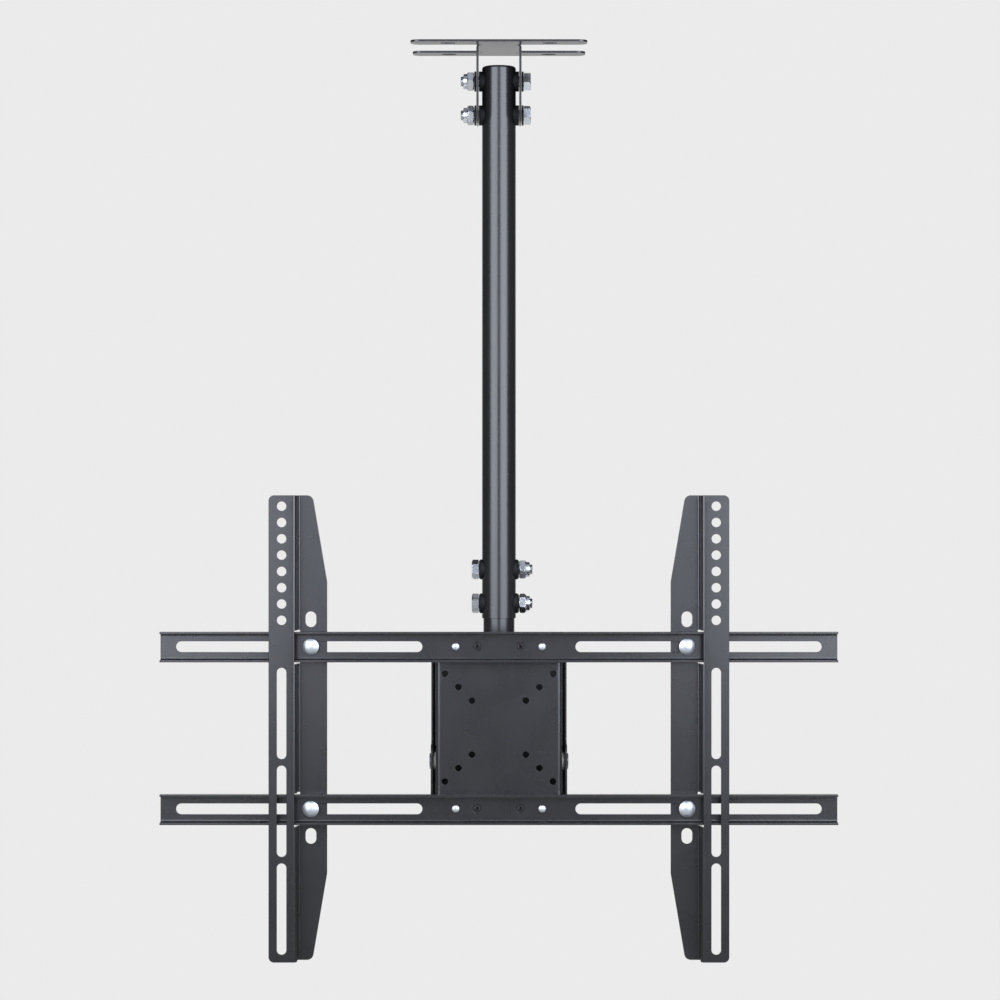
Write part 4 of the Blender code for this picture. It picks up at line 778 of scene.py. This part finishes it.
# Blind clinch nuts, pressed into the head plate from the front and seen through the spare holes
clinch_section = [(0, -6.2), (1.8, -6.2), (1.8, 1.2), (2.5, 1.2), (2.7, 1.1), (2.8, 0.8), (2.8, 0.05), (2.1, 0.05)]
clinch_section += [(2.1, -6.5), (0, -6.5)]
FORWARD = (0, -1, 0)
clinch_places = [((x, FACE_DEPTH - 1, z), FORWARD) for x in (-20, 20) for z in RAIL_HEIGHTS.values()]
turned_pieces("clinch_nuts", clinch_section, False, clinch_places, powder_coat, "head", "black_powder_coat", [])

# The cross recess of the rail screws, as a driver leaves it: two tapered bars
cross = bmesh.new()
for quarter in (0, 1):
    bar = bmesh.ops.create_cube(cross, size=1)["verts"]
    for vert in bar:
        length, width, height = (3.0, 0.9, 0.3) if vert.co.z < 0 else (4.6, 1.2, 2.7)
        vert.co = Vector((vert.co.x * length, vert.co.y * width, height)) * MM
    bmesh.ops.rotate(cross, matrix=Matrix.Rotation(quarter * math.pi / 2, 3, "Z"), verts=bar)
cross_mesh = bpy.data.meshes.new("cross_recess")
cross.to_mesh(cross_mesh)
cross.free()
cross_recess = bpy.data.objects.new("cross_recess", cross_mesh)
bpy.context.scene.collection.objects.link(cross_recess)
M4, M4_PITCH = 4, 0.7
PAN_RADIUS = 3.8
RAIL_FACE = -65.6
pan_turns = [math.radians(degrees) for degrees in (15, 30, 45, 60, 75, 90)]
pan_screw = [(0, 2.2)] + [(PAN_RADIUS * math.sin(a), 0.5 + 1.7 * math.cos(a)) for a in pan_turns]
pan_screw += [(PAN_RADIUS, 0.2), (3.65, 0)] + shank_rows(M4, M4_PITCH, 0, -7.6, 2.8)
screw_places = [((x, RAIL_FACE, z), FORWARD) for x in (-40, 40) for z in RAIL_HEIGHTS.values()]
turned_pieces(
    "rail_pan_head_screws", pan_screw, False, screw_places, tumbled_zinc, "head", "bright_zinc",
    [f"rail_screw_{level}_{side}" for level in RAIL_HEIGHTS for side in ("left", "right")],
    Thread_pitch=M4_PITCH, Thread_depth=0.35, Thread_from=-7.1, Thread_to=-5.0, Recess=cross_recess,
)
bpy.data.objects.remove(cross_recess)

# TV arms: one 2 mm sheet each, folded to a Z. The face with holes and slots for the screen lies before the
# rails, the tapered wing lies behind them, and windows in the web let the rails through.
arm_corners = [(0, -215, 5), (0, 215, 5), (57.5, 215, 6), (71, 135, 6), (71, -135, 6), (57.5, -215, 6)]
arm_outline = rounded([(u * MM, v * MM, r * MM) for u, v, r in arm_corners])
arm_holes = [circle((12 * MM, (205 - 15 * i) * MM), 8.7 * MM) for i in range(8)]
arm_holes += [slot((12 * MM, (14.25 - 90 * i) * MM), 84.0 * MM, 8.8 * MM, turned=True) for i in range(3)]
for z in (-75, 75):
    arm_holes.append(rounded([((56 + 3.55 * u) * MM, (z + 3.55 * v) * MM, 0.5 * MM) for u, v in SQUARE]))
    arm_holes.append(slot((56 * MM, math.copysign(100.3, z) * MM), 14.5 * MM, 10 * MM, turned=True))
    window = [(23.7, z - 15.5), (46, z - 15.5), (46, z + 15.5), (23.7, z + 15.5)]
    arm_holes.append(rounded([(u * MM, v * MM, 1.0 * MM) for u, v in window]))
arm_path = [(212 * MM, -80 * MM), (187 * MM, -80 * MM), (187 * MM, -62 * MM), (159 * MM, -62 * MM)]

# Carriage bolts: M6, zinc plated, with a domed head over a square neck that holds in the arm's square hole,
# and a flange nut behind the wing. They clamp the arms on the rails and slide in the slots.
DOME_HEIGHT, CROWN_REACH, CROWN_RISE = 4, 6.9, 1.8
BOLT_COLUMN = 174
WING_BACK = -60.7
crown = (CROWN_REACH**2 + CROWN_RISE**2) / (2 * CROWN_RISE)
dome_turns = [math.asin(CROWN_REACH / crown) * i / 8 for i in range(1, 9)]
dome = [(0, DOME_HEIGHT)]
dome += [(crown * math.sin(a), DOME_HEIGHT - crown + crown * math.cos(a)) for a in dome_turns]
shoulder_turns = (0.6, 0.85, 1.1, 1.35, math.pi / 2)
dome += [(CROWN_REACH + 0.9 * math.sin(a), 0.9 + 1.3 * math.cos(a)) for a in shoulder_turns]
dome += [(7.8, 0.3), (7.7, 0), (4.55, 0), (4.55, -3.7), (4.2, -4)]
carriage_section = dome + shank_rows(M6, M6_PITCH, -4, -13.9, 4.2)
for side_name, side in (("left", -1), ("right", 1)):
    arm_edit = cut_sheet(arm_outline, arm_holes)
    fold(arm_edit, arm_path, 0)
    hang = Matrix.Translation((0, 0, MIDDLE_HEIGHT * MM)) @ Matrix.Diagonal((side, 1, 1, 1)) @ TURN_Z_UP
    body = f"arm_{side_name}"
    folded_piece(arm_edit, f"{side_name}_tv_arm", hang, powder_coat, body, "black_powder_coat", f"{side_name}_arm")
    bolt_places = [((side * BOLT_COLUMN, RAIL_FACE, z), FORWARD) for z in RAIL_HEIGHTS.values()]
    turned_pieces(
        f"{side_name}_carriage_bolts", carriage_section, False, bolt_places, tumbled_zinc, body, "bright_zinc",
        [f"{side_name}_carriage_bolt_{level}" for level in RAIL_HEIGHTS], Sides=4,
        Across_flats=6.5, Flats_from=-4.01, Flats_to=-0.005,
        Thread_pitch=M6_PITCH, Thread_depth=0.5, Thread_from=-13.4, Thread_to=-9.8,
    )
    nut_places = [((side * BOLT_COLUMN, WING_BACK, z), (0, 1, 0)) for z in RAIL_HEIGHTS.values()]
    turned_pieces(
        f"{side_name}_flange_nuts", m6_nut, True, nut_places, zinc, body, "bright_zinc",
        [f"{side_name}_carriage_nut_{level}" for level in RAIL_HEIGHTS],
        Across_flats=M6_FLATS, Flats_from=1.5, Flats_to=3.97,
    )

# Studio: a pale surround for the camera, and for gloss where it faces the backdrop or the far floor. The pale
# floor lies as far below as in a room and fades out at its rim. A big soft lamp stands on each side in front,
# a little above the mount, and a weak one hangs overhead.
world = bpy.data.worlds.new("pale_surround")
bpy.context.scene.world = world
world.use_nodes = True
tree = world.node_tree
tree.nodes.clear()
path = add_node(tree, "ShaderNodeLightPath")
reflected = add_node(
    tree,
    "ShaderNodeMath",
    {0: path.outputs["Is Glossy Ray"], 1: path.outputs["Is Transmission Ray"]},
    operation="MAXIMUM",
)
way = add_node(tree, "ShaderNodeTexCoord").outputs["Generated"]
parts = add_node(tree, "ShaderNodeSeparateXYZ", {"Vector": way}).outputs
backdrop = {"Value": parts["Y"], "From Min": 0.80, "From Max": 0.90, "To Max": 0.7}
backdrop = add_node(tree, "ShaderNodeMapRange", backdrop, interpolation_type="SMOOTHSTEP")
far_floor = {"Value": parts["Z"], "From Min": -0.08, "From Max": -0.25, "To Max": 0.5}
far_floor = add_node(tree, "ShaderNodeMapRange", far_floor, interpolation_type="SMOOTHSTEP")
paler = add_node(
    tree, "ShaderNodeMath", {0: backdrop.outputs["Result"], 1: far_floor.outputs["Result"]}, operation="MAXIMUM"
)
shown = add_node(tree, "ShaderNodeMath", {0: reflected.outputs[0], 1: paler.outputs[0]}, operation="MULTIPLY")
seen = add_node(
    tree, "ShaderNodeMath", {0: path.outputs["Is Camera Ray"], 1: shown.outputs[0]}, operation="MAXIMUM"
)
dim = add_node(tree, "ShaderNodeBackground", {"Color": linear("#EBEBEB"), "Strength": 0.06})
pale = add_node(tree, "ShaderNodeBackground", {"Color": linear("#EBEBEB"), "Strength": 1.0})
mixed = add_node(tree, "ShaderNodeMixShader", {0: seen.outputs[0], 1: dim.outputs[0], 2: pale.outputs[0]})
add_node(tree, "ShaderNodeOutputWorld", {"Surface": mixed.outputs[0]})

floor_paint = bpy.data.materials.new("pale_floor_paint")
floor_paint.use_nodes = True
tree = floor_paint.node_tree
surface = tree.nodes["Principled BSDF"]
surface.inputs["Roughness"].default_value = 0.9
where = add_node(tree, "ShaderNodeTexCoord").outputs["Object"]
trowel = add_node(tree, "ShaderNodeTexNoise", {"Vector": where, "Scale": 3.0})
tone = add_node(tree, "ShaderNodeMix", {"Factor": trowel.outputs["Fac"]}, data_type="RGBA")
tone.inputs["A"].default_value = linear("#E4E4E3")
tone.inputs["B"].default_value = linear("#E9E9E8")
tree.links.new(tone.outputs["Result"], surface.inputs["Base Color"])
path = add_node(tree, "ShaderNodeLightPath")
lit = add_node(
    tree, "ShaderNodeMath", {0: path.outputs["Is Camera Ray"], 1: path.outputs["Is Glossy Ray"]}, operation="MAXIMUM"
)
glow = add_node(tree, "ShaderNodeMath", {0: lit.outputs[0], 1: 0.8}, operation="MULTIPLY")
tree.links.new(tone.outputs["Result"], surface.inputs["Emission Color"])
tree.links.new(glow.outputs[0], surface.inputs["Emission Strength"])
# The fade: the floor is whole up to 3.2 m from the origin and gone at 3.75 m
reach = add_node(tree, "ShaderNodeVectorMath", {0: where}, operation="LENGTH").outputs["Value"]
edge = {"Value": reach, "From Min": 3.2, "From Max": 3.75}
edge = add_node(tree, "ShaderNodeMapRange", edge, interpolation_type="SMOOTHSTEP")
clear = add_node(tree, "ShaderNodeBsdfTransparent")
faded = add_node(
    tree, "ShaderNodeMixShader", {0: edge.outputs["Result"], 1: surface.outputs[0], 2: clear.outputs[0]}
)
tree.links.new(faded.outputs[0], tree.nodes["Material Output"].inputs["Surface"])
FLOOR_REACH, FLOOR_HEIGHT = 3, -2.4
floor_mesh = bpy.data.meshes.new("floor")
floor_mesh.from_pydata([(FLOOR_REACH * u, FLOOR_REACH * v, FLOOR_HEIGHT) for u, v in SQUARE], [], [(0, 1, 2, 3)])
floor_mesh.materials.append(floor_paint)
floor = bpy.data.objects.new("floor", floor_mesh)
bpy.context.scene.collection.objects.link(floor)

# Each lamp's place, size, power in watts, and the height on the pole's axis that it is aimed at
LAMPS = {
    "left_softbox": ((-1.055, -1.62, 0.24), (1.70, 1.92), 46, 0.24),
    "right_softbox": ((1.055, -1.62, 0.24), (1.70, 1.92), 49, 0.24),
    "overhead_softbox": ((0, -0.9, 1.5), (2.4, 1.4), 6, -0.3),
}
for lamp_name, (place, size, power, aim_height) in LAMPS.items():
    lamp = bpy.data.lights.new(lamp_name, "AREA")
    lamp.shape = "RECTANGLE"
    lamp.size, lamp.size_y = size
    lamp.energy = power
    lamp.color = linear("#EAF1FF")[:3]
    holder = bpy.data.objects.new(lamp_name, lamp)
    holder.location = place
    holder.rotation_euler = (Vector((0, 0, aim_height)) - Vector(place)).to_track_quat("-Z", "Y").to_euler()
    holder.visible_camera = False
    bpy.context.scene.collection.objects.link(holder)
